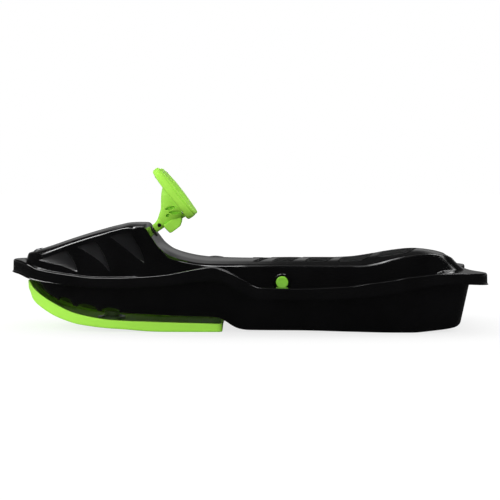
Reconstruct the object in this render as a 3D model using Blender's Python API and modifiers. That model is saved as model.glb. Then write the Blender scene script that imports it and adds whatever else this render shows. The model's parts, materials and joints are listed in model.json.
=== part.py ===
"""Steering sled: a moulded deck and hull, a steering wheel and a steerable front ski.

Metres, +Z up, the nose points to -X and the sled stands on Z = 0.
"""
import math

import bmesh
import bpy
from mathutils import Matrix, Vector

# Overall size
SLED_LENGTH = 1.070
SLED_WIDTH = 0.470

# Walls, fits and clearances
DECK_WALL = 0.003
HULL_WALL = 0.003
SKI_WALL = 0.004
TOUCH_GAP = 0.0003
RUNNING_GAP = 0.0003
RIM_FIT = 0.001
FLANGE_DROP = 0.0012
CUT_PAST = 0.010
CUT_PROUD = 0.002

# Rim plan, from the nose tip to the middle of the tail: shares of half length and half width
RIM_PLAN = (
    (-1.000, 0.0000), (-0.989, 0.1110), (-0.955, 0.2380), (-0.888, 0.4260), (-0.796, 0.5740),
    (-0.686, 0.6890), (-0.529, 0.8090), (-0.370, 0.9020), (-0.250, 0.9500), (-0.166, 0.9790),
    (-0.090, 0.9900), (-0.020, 0.9980), (0.050, 1.0000), (0.140, 1.0000), (0.290, 1.0000),
    (0.434, 0.9910), (0.540, 0.9820), (0.636, 0.9700), (0.720, 0.9550), (0.804, 0.9360),
    (0.916, 0.8980), (0.974, 0.8400), (1.000, 0.7350), (0.991, 0.5900), (0.970, 0.4500),
    (0.959, 0.2800), (0.956, 0.0000),
)
NOSE_SHARE = -0.748
TAIL_SHARE = 0.804
RIM_STEPS = 2
RIM_TAIL_POINTS = 6

# Heights of the rim, metres, against the share of half length
RIM_TOP = (
    (-1.000, 0.1480), (-0.950, 0.1480), (-0.921, 0.1465), (-0.867, 0.1360), (-0.798, 0.1300),
    (-0.689, 0.1235), (-0.616, 0.1205), (-0.533, 0.1210), (-0.429, 0.1235), (-0.327, 0.1285),
    (-0.224, 0.1387), (-0.173, 0.1437), (-0.137, 0.1460), (-0.110, 0.1447), (-0.093, 0.1425),
    (-0.050, 0.1335), (-0.005, 0.1210), (0.034, 0.1090), (0.065, 0.1035), (0.105, 0.1020),
    (0.225, 0.1010), (0.304, 0.1020), (0.373, 0.1040), (0.423, 0.1055), (0.503, 0.1115),
    (0.603, 0.1185), (0.652, 0.1235), (0.729, 0.1280), (0.805, 0.1320), (0.870, 0.1330),
    (1.000, 0.1305),
)
RIM_LOW = (
    (-1.000, 0.1255), (-0.945, 0.1203), (-0.893, 0.1124), (-0.813, 0.1065), (-0.724, 0.1025),
    (-0.638, 0.0997), (-0.532, 0.0992), (-0.429, 0.1018), (-0.375, 0.1036), (-0.275, 0.1093),
    (-0.172, 0.1160), (-0.126, 0.1179), (-0.089, 0.1157), (-0.026, 0.0981), (0.026, 0.0832),
    (0.070, 0.0775), (0.273, 0.0773), (0.405, 0.0800), (0.505, 0.0835), (0.605, 0.0913),
    (0.681, 0.0984), (0.753, 0.1060), (0.805, 0.1093), (1.000, 0.1085),
)
LEDGE_WIDTH = 0.028
WELL_LEDGE_WIDTH = 0.042
LEDGE_CHANGES = (-0.250, -0.100, 0.740, 0.850)

# Seat, cowl and leg wells, metres, against the share of half length
SPINE_TOP = (
    (-0.944, 0.1540), (-0.834, 0.1805), (-0.728, 0.2005), (-0.620, 0.2183), (-0.539, 0.2292),
    (-0.479, 0.2353), (-0.420, 0.2345), (-0.385, 0.2130), (-0.350, 0.1890), (-0.277, 0.1680),
    (-0.234, 0.1615), (-0.189, 0.1572), (-0.139, 0.1545), (0.026, 0.1530), (0.241, 0.1548),
    (0.379, 0.1550), (0.458, 0.1570), (0.517, 0.1612), (0.587, 0.1675), (0.655, 0.1725),
    (0.741, 0.1762), (0.811, 0.1712), (0.866, 0.1595), (0.896, 0.1500), (0.925, 0.1385),
    (1.000, 0.1305),
)
SEAT_EDGE_TOP = (
    (-0.944, 0.1515), (-0.834, 0.1768), (-0.728, 0.1968), (-0.620, 0.2150), (-0.539, 0.2258),
    (-0.479, 0.2328), (-0.420, 0.2325), (-0.385, 0.2080), (-0.350, 0.1835), (-0.300, 0.1650),
    (-0.237, 0.1555), (-0.187, 0.1505), (-0.130, 0.1478), (0.026, 0.1455), (0.234, 0.1440),
    (0.400, 0.1435), (0.480, 0.1440), (0.560, 0.1500), (0.619, 0.1580), (0.690, 0.1655),
    (0.770, 0.1690), (0.830, 0.1645), (0.880, 0.1530), (0.925, 0.1370), (1.000, 0.1305),
)
SHOULDER_TOP = (
    (-0.944, 0.1490), (-0.821, 0.1721), (-0.733, 0.1887), (-0.604, 0.2093), (-0.550, 0.2195),
    (-0.487, 0.2259), (-0.455, 0.2208), (-0.438, 0.2098), (-0.412, 0.1938), (-0.381, 0.1768),
    (-0.323, 0.1618), (-0.260, 0.1536), (-0.180, 0.1472), (-0.098, 0.1420), (0.026, 0.1380),
    (0.191, 0.1350), (0.344, 0.1345), (0.418, 0.1345), (0.498, 0.1376), (0.572, 0.1436),
    (0.652, 0.1535), (0.706, 0.1576), (0.772, 0.1580), (0.830, 0.1530), (0.890, 0.1410),
    (0.925, 0.1350), (1.000, 0.1305),
)
SHOULDER_WIDTH = (
    (-0.944, 0.026), (-0.819, 0.051), (-0.731, 0.064), (-0.600, 0.074), (-0.482, 0.084),
    (-0.407, 0.096), (-0.318, 0.108), (-0.254, 0.116), (-0.174, 0.125), (0.034, 0.128),
    (0.200, 0.130), (0.428, 0.126), (0.583, 0.122), (0.718, 0.116), (1.000, 0.112),
)
SHOULDER_BAND = 0.012
SEAT_CROWN_SHARE = 0.55
SEAT_CROWN_FALL = 0.3
WALL_BASE_WIDTH = (
    (-0.944, 0.060), (-0.873, 0.089), (-0.804, 0.109), (-0.693, 0.133), (-0.621, 0.144),
    (-0.535, 0.157), (-0.430, 0.170), (-0.325, 0.181), (-0.222, 0.189), (-0.168, 0.186),
    (-0.093, 0.160), (-0.037, 0.148), (0.037, 0.144), (0.561, 0.143), (0.710, 0.140),
    (1.000, 0.140),
)
WELL_DEPTH = (
    (-0.110, 0.000), (-0.056, 0.012), (0.010, 0.040), (0.045, 0.040), (0.084, 0.034),
    (0.234, 0.032), (0.383, 0.034), (0.561, 0.044), (0.673, 0.037), (0.748, 0.015),
    (0.819, 0.000),
)
BASE_TO_LEDGE = 0.004
# How far inside the nose and the tail the deck's lines turn: spine, seat, its edge, shoulder, wall
DECK_TIP_INSETS = (0.060, 0.050, 0.042, 0.035, 0.028)
DECK_END_INSETS = (0.085, 0.077, 0.069, 0.061, 0.040)
FLOOR_SHARES = (0.3, 0.8)

# Hull, metres, against the share of half length
HULL_INSET = 0.030
HULL_EDGE_WIDTH = (
    (-0.900, 0.050), (-0.804, 0.100), (-0.748, 0.118), (-0.673, 0.136), (-0.561, 0.150),
    (-0.400, 0.155), (0.700, 0.155), (0.850, 0.150), (1.000, 0.146),
)
HULL_EDGE_LOW = (
    (-0.935, 0.118), (-0.900, 0.104), (-0.850, 0.088), (-0.804, 0.076), (-0.748, 0.064),
    (-0.673, 0.053), (-0.600, 0.047), (-0.500, 0.043), (-0.383, 0.0395), (-0.250, 0.036),
    (-0.110, 0.033), (-0.078, 0.028), (-0.020, 0.010), (0.020, 0.006), (0.240, 0.005),
    (0.447, 0.002), (0.630, 0.000), (0.684, 0.000), (0.787, 0.005), (0.865, 0.012),
    (0.900, 0.020),
)
HULL_PAN_RISE = ((-0.080, 0.000), (0.040, 0.010), (0.800, 0.010), (0.900, 0.002))
RUNNER_WIDTH = 0.022
RUNNER_FLANK = 0.006
HULL_CORNER = 0.006
HULL_TIP_INSET = 0.053
HULL_END_INSET = 0.048
HULL_TOP_INSET = 0.0305
HULL_SIDE_GAP = 0.031
HULL_SIDE_DROP = 0.002
STEP_FADE = 0.120
# Lines of the hull's bottom, inwards from its edge: middle, pan, pan edge, runner, edge, corner
HULL_TIP_STEPS = (0.045, 0.020, 0.012, 0.006, 0.000, -0.002)
HULL_END_STEPS = (0.030, 0.020, 0.012, 0.006, 0.000, -0.004)

# Front ski: its bow in shares of half length and of its half width, its heights in metres
SKI_HALF_WIDTH = 0.145
SKI_REAR_SHARE = -0.0879
SKI_SIDE_SHARES = (-0.4486, -0.3178, -0.2056)
SKI_SPINE_INSET = 0.060
SKI_SPINE_END = 0.023
SKI_CORNER = 0.012
SKI_REAR_GAP = 0.004
SKI_REAR_PARTS = 4
SKI_PLAN = (
    (-0.9290, 0.000), (-0.9159, 0.221), (-0.8822, 0.428), (-0.8318, 0.607), (-0.7664, 0.772),
    (-0.6729, 0.910), (-0.5607, 0.983), (-0.4486, 1.000),
)
SKI_LOW = (
    (-0.9290, 0.084), (-0.9159, 0.079), (-0.8972, 0.063), (-0.8561, 0.047), (-0.7925, 0.029),
    (-0.7009, 0.014), (-0.5944, 0.004), (-0.4393, 0.000), (0.0000, 0.000),
)
SKI_TOP = (
    (-0.9290, 0.104), (-0.9159, 0.101), (-0.8972, 0.091), (-0.8449, 0.075), (-0.7925, 0.061),
    (-0.7009, 0.044), (-0.5944, 0.032), (-0.4673, 0.027), (0.0000, 0.023),
)
SKI_EDGE_ROUND = 0.007
SKI_PAD_RADIUS = 0.034
SKI_PAD_TOP = 0.016

# Steering column: its axis rises to the rear through this point
COLUMN_ANGLE = math.radians(37)
COLUMN_SHARE = -0.38411215
COLUMN_Z = 0.223
COLUMN_RADIUS = 0.0065
COLUMN_TOP = 0.060
GUIDE_RADIUS = 0.0105
GUIDE_LENGTH = 0.056
GUIDE_FLANGE_RADIUS = 0.0165
GUIDE_FLANGE = 0.003
COLUMN_BOSS_RADIUS = 0.020
COLUMN_BOSS_FACE = -0.0060
COLUMN_BOSS_DEPTH = 0.030

# Crank, kingpin and steering arm
CRANK_RADIUS = 0.034
CRANK_BALL_RADIUS = 0.006
CRANK_HUB_RADIUS = 0.013
CRANK_HUB_LENGTH = 0.012
CRANK_ARM_WIDTH = 0.013
CRANK_ARM_THICKNESS = 0.0074
CRANK_BLADE_REACH = 0.018
CRANK_NECK_RADIUS = 0.0034
CRANK_PIN_RADIUS = 0.002
CRANK_PIN_PROUD = 0.0015
COLUMN_END = 0.003
COLUMN_WASHER_RADIUS = 0.0135
ARM_REACH = 0.051
ARM_THICKNESS = 0.012
ARM_BOTTOM = 0.1376
ARM_HUB_RADIUS = 0.019
ARM_WIDTH = 0.026
ARM_SLOT_LENGTH = 0.024
ARM_SLOT_FIT = 0.0004
ARM_SLOT_WALL = 0.006
ARM_WASHER_RADIUS = 0.0160
ARM_WASHER = 0.0020
ARM_NUT_RADIUS = 0.0150
ARM_NUT = 0.0080
KINGPIN_END = 0.0020
KINGPIN_RADIUS = 0.010
KINGPIN_COLLAR_RADIUS = 0.017
KINGPIN_FLANGE_RADIUS = 0.032
KINGPIN_FLANGE = 0.005
BUSH_WALL = 0.003
BUSH_FLANGE = 0.003
BUSH_FLANGE_RADIUS = 0.0175
BUSH_LENGTH = 0.022
HULL_PAD_RADIUS = 0.034
HULL_PAD_BOTTOM = 0.042
HULL_PAD_TOP = 0.054
HOUSING_WALL = 0.005
HOUSING_FLANGE = 0.004
HOUSING_FLANGE_RADIUS = 0.031

# Wheel, in the frame of its column: across, up the wheel, along the axis
WHEEL_HALF_WIDTH = 0.106
WHEEL_TOP = 0.103
WHEEL_LOW = -0.030
WHEEL_BACK = 0.078
WHEEL_FRONT = 0.096
WHEEL_COVER = 0.005
WHEEL_COVER_INSET = 0.0015
WHEEL_ROUND = 0.004
WHEEL_COVER_ROUND = 0.002
WHEEL_PAD_HALF_WIDTH = 0.046
WHEEL_BAR_HEIGHT = 0.034
GRIP_WIDTH = 0.024
HUB_SECTIONS = (
    (0.000, 0.0100, 0.0100, -0.0100), (0.010, 0.0103, 0.0112, -0.0103),
    (0.020, 0.0106, 0.0155, -0.0108), (0.028, 0.0160, 0.0195, -0.0122),
    (0.038, 0.0220, 0.0250, -0.0140),
    (0.046, 0.0280, 0.0350, -0.0160), (0.059, 0.0370, 0.0500, -0.0180),
    (0.071, 0.0450, 0.0610, -0.0200), (0.0795, 0.0480, 0.0650, -0.0220),
)
CHIN_BACK = 0.024
CHIN_FRONT = 0.066
CHIN_LOW = -0.032
CHIN_HALF_WIDTH = 0.021
WHEEL_BOLT_ALONG = 0.0145
WHEEL_BOLT_RADIUS = 0.0025
WHEEL_BOLT_HEAD_RADIUS = 0.0044
WHEEL_BOLT_HEAD = 0.0028
WHEEL_NUT = 0.0040
WHEEL_BOLT_END = 0.002
SLEEVE_FLAT = 0.0106
COVER_SCREWS = ((0.058, 0.089), (-0.058, 0.089), (0.062, -0.010), (-0.062, -0.010))
COVER_SCREW_HEAD_RADIUS = 0.0034
COVER_SCREW_BITE = 0.0030

# Fasteners
SCREW_RADIUS = 0.0018
SCREW_HEAD_RADIUS = 0.0040
SCREW_HEAD = 0.0022
SCREW_BITE = 0.0018
HOLE_FIT = 0.0004
RIM_SCREW_SHARES = (-0.600, -0.360, -0.142, 0.234, 0.850)
RIM_SCREW_INSET = 0.0165
FLANGE_SAG = 0.0005
PAD_BOLT_CIRCLE = 0.025
PAD_BOLT_RADIUS = 0.0020
PAD_BOLT_HEAD_RADIUS = 0.0038
PAD_BOLT_HEAD = 0.0020
PAD_BOLT_BITE = 0.0070

# Tie rod and its green caps
CAP_SHARE = 0.16636
CAP_Z = 0.110
CAP_RADIUS = 0.0145
CAP_FACE = 0.1428
CAP_DOME = 0.002
CAP_COLLAR_RADIUS = 0.019
CAP_COLLAR_FACE = 0.1405
CAP_COLLAR_DEPTH = 0.020
CAP_CUP_DEPTH = 0.0095
TIE_ROD_RADIUS = 0.0035
TIE_NUT_RADIUS = 0.0070
TIE_NUT = 0.0035

# Tow ring, threaded through the nose of the deck
TOW_RING_RADIUS = 0.0215
TOW_WIRE_RADIUS = 0.0014
TOW_RING_SHARE = -0.88505
TOW_RING_SINK = 0.0135
TOW_SLOT_RADIUS = 0.0021
TOW_SLOT_HALF_WIDTH = 0.0042

# Colours (linear), roughness and metallic value of each material
MATERIALS = {
    "black_plastic": ((0.010, 0.010, 0.011), 0.22, 0.0),
    "green_plastic": ((0.340, 0.720, 0.085), 0.35, 0.0),
    "dark_nylon": ((0.045, 0.043, 0.035), 0.45, 0.0),
    "white_nylon": ((0.700, 0.690, 0.640), 0.40, 0.0),
    "zinc_steel": ((0.560, 0.570, 0.580), 0.30, 1.0),
    "column_steel": ((0.100, 0.100, 0.105), 0.35, 1.0),
}

HALF_LENGTH = SLED_LENGTH / 2
HALF_WIDTH = SLED_WIDTH / 2
COLUMN_X = COLUMN_SHARE * HALF_LENGTH
CAP_X = CAP_SHARE * HALF_LENGTH
TOW_RING_X = TOW_RING_SHARE * HALF_LENGTH
SKI_TIP = SKI_PLAN[0][0] * HALF_LENGTH
SKI_REAR_CORNER = SKI_REAR_SHARE * HALF_LENGTH
AXIS = Vector((math.cos(COLUMN_ANGLE), 0, math.sin(COLUMN_ANGLE)))
UP_WHEEL = Vector((-math.sin(COLUMN_ANGLE), 0, math.cos(COLUMN_ANGLE)))
COLUMN_FRAME = Matrix.Translation((COLUMN_X, 0, COLUMN_Z)) @ Matrix(
    ((0, UP_WHEEL.x, AXIS.x, 0), (1, 0, 0, 0), (0, UP_WHEEL.z, AXIS.z, 0), (0, 0, 0, 1)))
BALL_Z = ARM_BOTTOM + ARM_THICKNESS / 2
CRANK_ALONG = (BALL_Z + CRANK_RADIUS * UP_WHEEL.z - COLUMN_Z) / AXIS.z
BALL = COLUMN_FRAME @ Vector((0, -CRANK_RADIUS, CRANK_ALONG))
KINGPIN_X = BALL.x - ARM_REACH
SKI_REAR_RADIUS = math.hypot(SKI_REAR_CORNER - KINGPIN_X, SKI_HALF_WIDTH - SKI_CORNER)
ARM_TOP = ARM_BOTTOM + ARM_THICKNESS


def clear_scene():
    for item in list(bpy.data.objects):
        bpy.data.objects.remove(item, do_unlink=True)


def new_collection(name):
    collection = bpy.data.collections.new(name)
    bpy.context.scene.collection.children.link(collection)
    return collection


def new_material(name):
    colour, roughness, metallic = MATERIALS[name]
    material = bpy.data.materials.new(name)
    material.use_nodes = True
    shader = material.node_tree.nodes["Principled BSDF"]
    shader.inputs["Base Color"].default_value = (*colour, 1)
    shader.inputs["Roughness"].default_value = roughness
    shader.inputs["Metallic"].default_value = metallic
    material.diffuse_color = (*colour, 1)
    return material


def table(points, x):
    """Value at x of a smooth curve through (x, value) points that never overshoots them."""
    if x <= points[0][0]:
        return points[0][1]
    if x >= points[-1][0]:
        return points[-1][1]
    gaps = [b[0] - a[0] for a, b in zip(points, points[1:])]
    slopes = [(b[1] - a[1]) / gap for a, b, gap in zip(points, points[1:], gaps)]
    index = max(i for i, point in enumerate(points) if point[0] <= x)

    def tangent(i):
        if i == 0 or i == len(points) - 1:
            return slopes[min(i, len(slopes) - 1)]
        before, after = slopes[i - 1], slopes[i]
        if before * after <= 0:
            return 0.0
        left = 2 * gaps[i] + gaps[i - 1]
        right = gaps[i] + 2 * gaps[i - 1]
        return (left + right) / (left / before + right / after)

    gap = gaps[index]
    t = (x - points[index][0]) / gap
    start, end = points[index][1], points[index + 1][1]
    return ((1 + 2 * t) * (1 - t) ** 2 * start + t * (1 - t) ** 2 * gap * tangent(index)
            + t * t * (3 - 2 * t) * end + t * t * (t - 1) * gap * tangent(index + 1))


def smooth_line(points, steps):
    """Catmull-Rom curve through plan points whose two ends lie on the symmetry plane."""
    points = [Vector(point) for point in points]
    points = [Vector((points[1].x, -points[1].y))] + points
    points.append(Vector((points[-2].x, -points[-2].y)))
    line = []
    for a, b, c, d in zip(points, points[1:], points[2:], points[3:]):
        for step in range(steps):
            t = step / steps
            line.append(0.5 * (2 * b + (c - a) * t + (2 * a - 5 * b + 4 * c - d) * t * t
                               + (3 * b - a - 3 * c + d) * t ** 3))
    line.append(points[-2])
    return line


def rim_width(x):
    inner = [(a * HALF_LENGTH, b * HALF_WIDTH) for a, b in RIM_PLAN[2:-RIM_TAIL_POINTS + 1]]
    return table(inner, x)


def rim_line():
    plan = [(a * HALF_LENGTH, b * HALF_WIDTH) for a, b in RIM_PLAN]
    return smooth_line(plan, RIM_STEPS)


def rim_normals():
    """Outward plan direction at each point of the rim line."""
    points = rim_line()
    first = Vector((points[1].x, -points[1].y))
    last = Vector((points[-2].x, -points[-2].y))
    padded = [first] + points + [last]
    ahead = [(b - a).normalized() for a, b in zip(padded, padded[2:])]
    return [Vector((-step.y, step.x)) for step in ahead]


def along(points, x):
    return table(points, x / HALF_LENGTH)


def line_point(rim, tip, end, width):
    """Plan point of one feature line on the rib that ends at a rim point.

    Between nose and tail a rib runs straight across. Round the nose and the tail each line
    is a smaller copy of the rim, from its own tip or end.
    """
    nose = NOSE_SHARE * HALF_LENGTH
    tail = TAIL_SHARE * HALF_LENGTH
    if rim.x < nose:
        share = (nose - rim.x) / (nose + HALF_LENGTH)
        return nose - share * (nose - tip), width(nose) * rim.y / rim_width(nose)
    if rim.x > tail:
        outward = math.sqrt(width(tail) / rim_width(tail))
        back = (rim.x - tail) / (HALF_LENGTH - tail)
        turned = 1 - rim.y / rim_width(tail)
        share = outward * back + (1 - outward) * turned
        return tail + share * (end - tail), width(tail) * rim.y / rim_width(tail)
    return rim.x, width(rim.x)


def seat_edge_width(x):
    return along(SHOULDER_WIDTH, x) - SHOULDER_BAND


def ledge_inner_width(x):
    """The ledge is wider beside the leg wells, whose walls pass inside the hull's wall."""
    widths = (LEDGE_WIDTH, WELL_LEDGE_WIDTH, WELL_LEDGE_WIDTH, LEDGE_WIDTH)
    return rim_width(x) - along(tuple(zip(LEDGE_CHANGES, widths)), x)


def floor_height(x):
    return along(RIM_TOP, x) - along(WELL_DEPTH, x)


def wall_base_width(x):
    return min(along(WALL_BASE_WIDTH, x), ledge_inner_width(x) - BASE_TO_LEDGE)


def deck_ribs():
    ribs = []
    tips = [inset - HALF_LENGTH for inset in DECK_TIP_INSETS]
    ends = [HALF_LENGTH - inset for inset in DECK_END_INSETS]
    ledge_tip = -HALF_LENGTH + LEDGE_WIDTH
    ledge_end = HALF_LENGTH - LEDGE_WIDTH
    for rim in rim_line():
        rib = []
        profiles = (
            (tips[0], ends[0], lambda x: 0.0, SPINE_TOP),
            (tips[1], ends[1], lambda x: seat_edge_width(x) * SEAT_CROWN_SHARE, None),
            (tips[2], ends[2], seat_edge_width, SEAT_EDGE_TOP),
            (tips[3], ends[3], lambda x: along(SHOULDER_WIDTH, x), SHOULDER_TOP),
            (tips[4], ends[4], wall_base_width, WELL_DEPTH),
            (ledge_tip, ledge_end, ledge_inner_width, RIM_TOP),
            (-HALF_LENGTH, HALF_LENGTH, rim_width, RIM_TOP),
            (-HALF_LENGTH, HALF_LENGTH, rim_width, RIM_LOW),
        )
        for tip, end, width, height in profiles:
            x, y = line_point(rim, tip, end, width)
            if width is rim_width:
                x, y = rim
            if height is None:
                z = along(SPINE_TOP, x) * (1 - SEAT_CROWN_FALL) + along(SEAT_EDGE_TOP, x) * SEAT_CROWN_FALL
            elif height is WELL_DEPTH:
                z = floor_height(x)
            else:
                z = along(height, x)
            rib.append(Vector((x, max(y, 0.0), z)))
        base, ledge = rib[4:6]
        floor = [base.lerp(ledge, share) for share in FLOOR_SHARES]
        for point in floor:
            point.z = floor_height(point.x)
        rib[5:5] = floor
        ribs.append(rib)
    return ribs


def flange_height(x):
    """Underside of the hull's flange, which follows the ledge above it at both walls' thickness."""
    step = 0.004
    slope = (along(RIM_TOP, x + step) - along(RIM_TOP, x - step)) / (2 * step)
    walls = (DECK_WALL + HULL_WALL) * math.hypot(1, slope)
    return along(RIM_TOP, x) - walls - FLANGE_DROP


def step_shift(x, y):
    """How far the hull's bottom bulges back so that its step follows the ski's round rear."""
    radius = SKI_REAR_RADIUS + SKI_REAR_GAP
    edge = along(HULL_EDGE_WIDTH, x)
    near = min(abs(x - SKI_REAR_CORNER) / STEP_FADE, 1.0)
    weight = (1 - near * near) ** 2
    return weight * (math.sqrt(radius ** 2 - min(y, edge) ** 2) - math.sqrt(radius ** 2 - edge ** 2))


def hull_ribs():
    ribs = []
    flange = DECK_WALL + RIM_FIT
    runner_in = RUNNER_WIDTH + RUNNER_FLANK
    top_end = HALF_LENGTH - HULL_TOP_INSET
    tips = [HULL_TIP_INSET - HALF_LENGTH + step for step in HULL_TIP_STEPS]
    ends = [HALF_LENGTH - HULL_END_INSET - step for step in HULL_END_STEPS]

    def edge_width(offset):
        return lambda x: along(HULL_EDGE_WIDTH, x) - offset

    def rim_inset(offset):
        return lambda x: rim_width(x) - offset

    reach = -HALF_LENGTH
    for rim, outward in zip(rim_line(), rim_normals()):
        reach = max(reach, rim.x)
        straight = Vector((reach, rim.y))
        rib = []
        profiles = (
            (tips[0], ends[0], lambda x: 0.0, "pan"),
            (tips[1], ends[1], lambda x: edge_width(runner_in)(x) * 0.55, "pan"),
            (tips[2], ends[2], edge_width(runner_in), "pan"),
            (tips[3], ends[3], edge_width(RUNNER_WIDTH), "edge"),
            (tips[4], ends[4], edge_width(0.0), "edge"),
            (tips[5], ends[5], edge_width(-HULL_CORNER * 0.7), "corner"),
            (-HALF_LENGTH + HULL_SIDE_GAP, top_end, rim_inset(HULL_SIDE_GAP), "side"),
            (-HALF_LENGTH + HULL_INSET, top_end, rim_inset(HULL_INSET), "flange"),
            (None, None, None, "edge of flange"),
        )
        for tip, end, width, kind in profiles:
            x, y = line_point(straight, tip, end, width) if width else rim - outward * flange
            if "flange" in kind:
                z = flange_height(x)
            elif kind == "side":
                z = along(RIM_LOW, x) - HULL_SIDE_DROP
            else:
                z = along(HULL_EDGE_LOW, x)
                z += along(HULL_PAN_RISE, x) if kind == "pan" else 0.0
                z += HULL_CORNER if kind == "corner" else 0.0
                x += step_shift(x, y)
            rib.append(Vector((x, max(y, 0.0), z)))
        ribs.append(rib)
    return ribs


def ski_outline():
    """Plan of the ski: a round bow, straight sides and a straight rear edge."""
    plan = [(a * HALF_LENGTH, b * SKI_HALF_WIDTH) for a, b in SKI_PLAN]
    bow = smooth_line(plan, 2)[:-2]
    sides = [share * HALF_LENGTH for share in SKI_SIDE_SHARES] + [SKI_REAR_CORNER - SKI_CORNER]
    side = [Vector((x, SKI_HALF_WIDTH)) for x in sides]
    centre = Vector((SKI_REAR_CORNER - SKI_CORNER, SKI_HALF_WIDTH - SKI_CORNER))
    turn = [centre + SKI_CORNER * Vector((math.sin(a), math.cos(a)))
            for a in (math.radians(30), math.radians(60))]
    rear = [Vector((SKI_REAR_CORNER, centre.y * k / SKI_REAR_PARTS))
            for k in range(SKI_REAR_PARTS, -1, -1)]
    return bow + side + turn + rear


def ski_ribs():
    ribs = []
    spine = (SKI_TIP + SKI_SPINE_INSET, SKI_REAR_CORNER - SKI_SPINE_END)
    for edge in ski_outline():
        inner_x = min(max(edge.x, spine[0]), spine[1])
        inner = Vector((inner_x, 0))
        out = (edge - inner).normalized()
        corner = edge - out * SKI_EDGE_ROUND
        flat = edge - out * SKI_EDGE_ROUND * 0.3
        low = [(inner, 0.0), (inner.lerp(corner, 0.55), 0.0), (corner, 0.0),
               (flat, SKI_EDGE_ROUND * 0.3), (edge, SKI_EDGE_ROUND)]
        rib = [Vector((*plan, along(SKI_LOW, plan.x) + rise)) for plan, rise in low]
        rib.append(Vector((*edge, along(SKI_TOP, edge.x))))
        ribs.append(rib)
    return ribs


def shell_object(name, ribs, wall, outward_down):
    """Loft between the ribs of one half, mirrored and given its wall."""
    mesh = bpy.data.meshes.new(name)
    bm = bmesh.new()
    grid = [[bm.verts.new(point) for point in rib] for rib in ribs]
    for near, far in zip(grid, grid[1:]):
        for a, b, c, d in zip(near, far, far[1:], near[1:]):
            bm.faces.new((d, c, b, a) if outward_down else (a, b, c, d))
    bmesh.ops.remove_doubles(bm, verts=bm.verts, dist=0.00002)
    bm.to_mesh(mesh)
    bm.free()
    item = bpy.data.objects.new(name, mesh)
    mirror = item.modifiers.new("both sides", "MIRROR")
    mirror.use_axis = (False, True, False)
    mirror.merge_threshold = 0.0001
    solidify = item.modifiers.new("wall", "SOLIDIFY")
    solidify.thickness = wall
    solidify.offset = -1
    solidify.use_even_offset = True
    return item


def mesh_object(name, bm):
    bmesh.ops.recalc_face_normals(bm, faces=bm.faces)
    mesh = bpy.data.meshes.new(name)
    bm.to_mesh(mesh)
    bm.free()
    return bpy.data.objects.new(name, mesh)


def add_cone(bm, low, high, low_radius, high_radius, segments=20):
    """Round solid from one point to another."""
    low, high = Vector(low), Vector(high)
    turn = (high - low).to_track_quat("Z", "Y").to_matrix().to_4x4()
    place = Matrix.Translation((low + high) / 2) @ turn
    bmesh.ops.create_cone(bm, cap_ends=True, segments=segments, radius1=low_radius,
                          radius2=high_radius, depth=(high - low).length, matrix=place)


def add_cylinder(bm, low, high, radius, segments=20):
    add_cone(bm, low, high, radius, radius, segments)


def add_box(bm, low, high):
    low, high = Vector(low), Vector(high)
    size = Matrix.Diagonal((*(high - low), 1))
    bmesh.ops.create_cube(bm, size=1, matrix=Matrix.Translation((low + high) / 2) @ size)


def cylinder_object(name, low, high, radius, segments=20):
    bm = bmesh.new()
    add_cylinder(bm, low, high, radius, segments)
    return mesh_object(name, bm)


def turned_object(name, profile, segments=24):
    """Body of revolution about local Z from (radius, height) points that run up its outer side."""
    mesh = bpy.data.meshes.new(name)
    bm = bmesh.new()
    verts = [bm.verts.new((radius, 0, height)) for radius, height in reversed(profile)]
    for a, b in zip(verts, verts[1:]):
        bm.edges.new((a, b))
    if profile[0][0] > 0 and profile[-1][0] > 0:
        bm.edges.new((verts[-1], verts[0]))
    bm.to_mesh(mesh)
    bm.free()
    item = bpy.data.objects.new(name, mesh)
    screw = item.modifiers.new("turn", "SCREW")
    screw.steps = segments
    screw.render_steps = segments
    screw.use_merge_vertices = True
    screw.merge_threshold = 0.0001
    return item


def ring_profile(inner, outer, low, high):
    return ((inner, low), (outer, low), (outer, high), (inner, high))


def boolean(item, cutter, operation):
    cut = item.modifiers.new(cutter.name, "BOOLEAN")
    cut.object = cutter
    cut.operation = operation
    cut.solver = "EXACT"


class Sled:
    """Collections, materials and pivots that the parts are put in."""

    def __init__(self):
        self.parts = new_collection("steering_sled")
        self.cutters = new_collection("cutters")
        self.materials = {name: new_material(name) for name in MATERIALS}
        self.steering = self.pivot("steering_axis", COLUMN_FRAME)
        self.ski = self.pivot("ski_axis", Matrix.Translation((KINGPIN_X, 0, 0)))

    def pivot(self, name, matrix):
        empty = bpy.data.objects.new(name, None)
        self.parts.objects.link(empty)
        empty.matrix_world = matrix
        return empty

    def add(self, item, material, parent=None, place=None):
        self.parts.objects.link(item)
        item.data.materials.append(self.materials[material])
        item.parent = parent
        if place is not None:
            item.matrix_local = place
        return item

    def cutter(self, item, parent=None):
        self.cutters.objects.link(item)
        item.hide_render = True
        item.display_type = "WIRE"
        item.parent = parent
        return item


def rim_screw_points():
    """Plan point, underside of the flange and underside of the ledge at each rim screw."""
    points = []
    for share in RIM_SCREW_SHARES:
        x = share * HALF_LENGTH
        y = rim_width(x) - RIM_SCREW_INSET
        around = [flange_height(x + k * SCREW_HEAD_RADIUS) for k in (-1, 0, 1)]
        for side in (-1, 1):
            points.append((Vector((x, side * y, 0)), min(around) - FLANGE_SAG,
                           along(RIM_TOP, x) - DECK_WALL))
    return points


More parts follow.
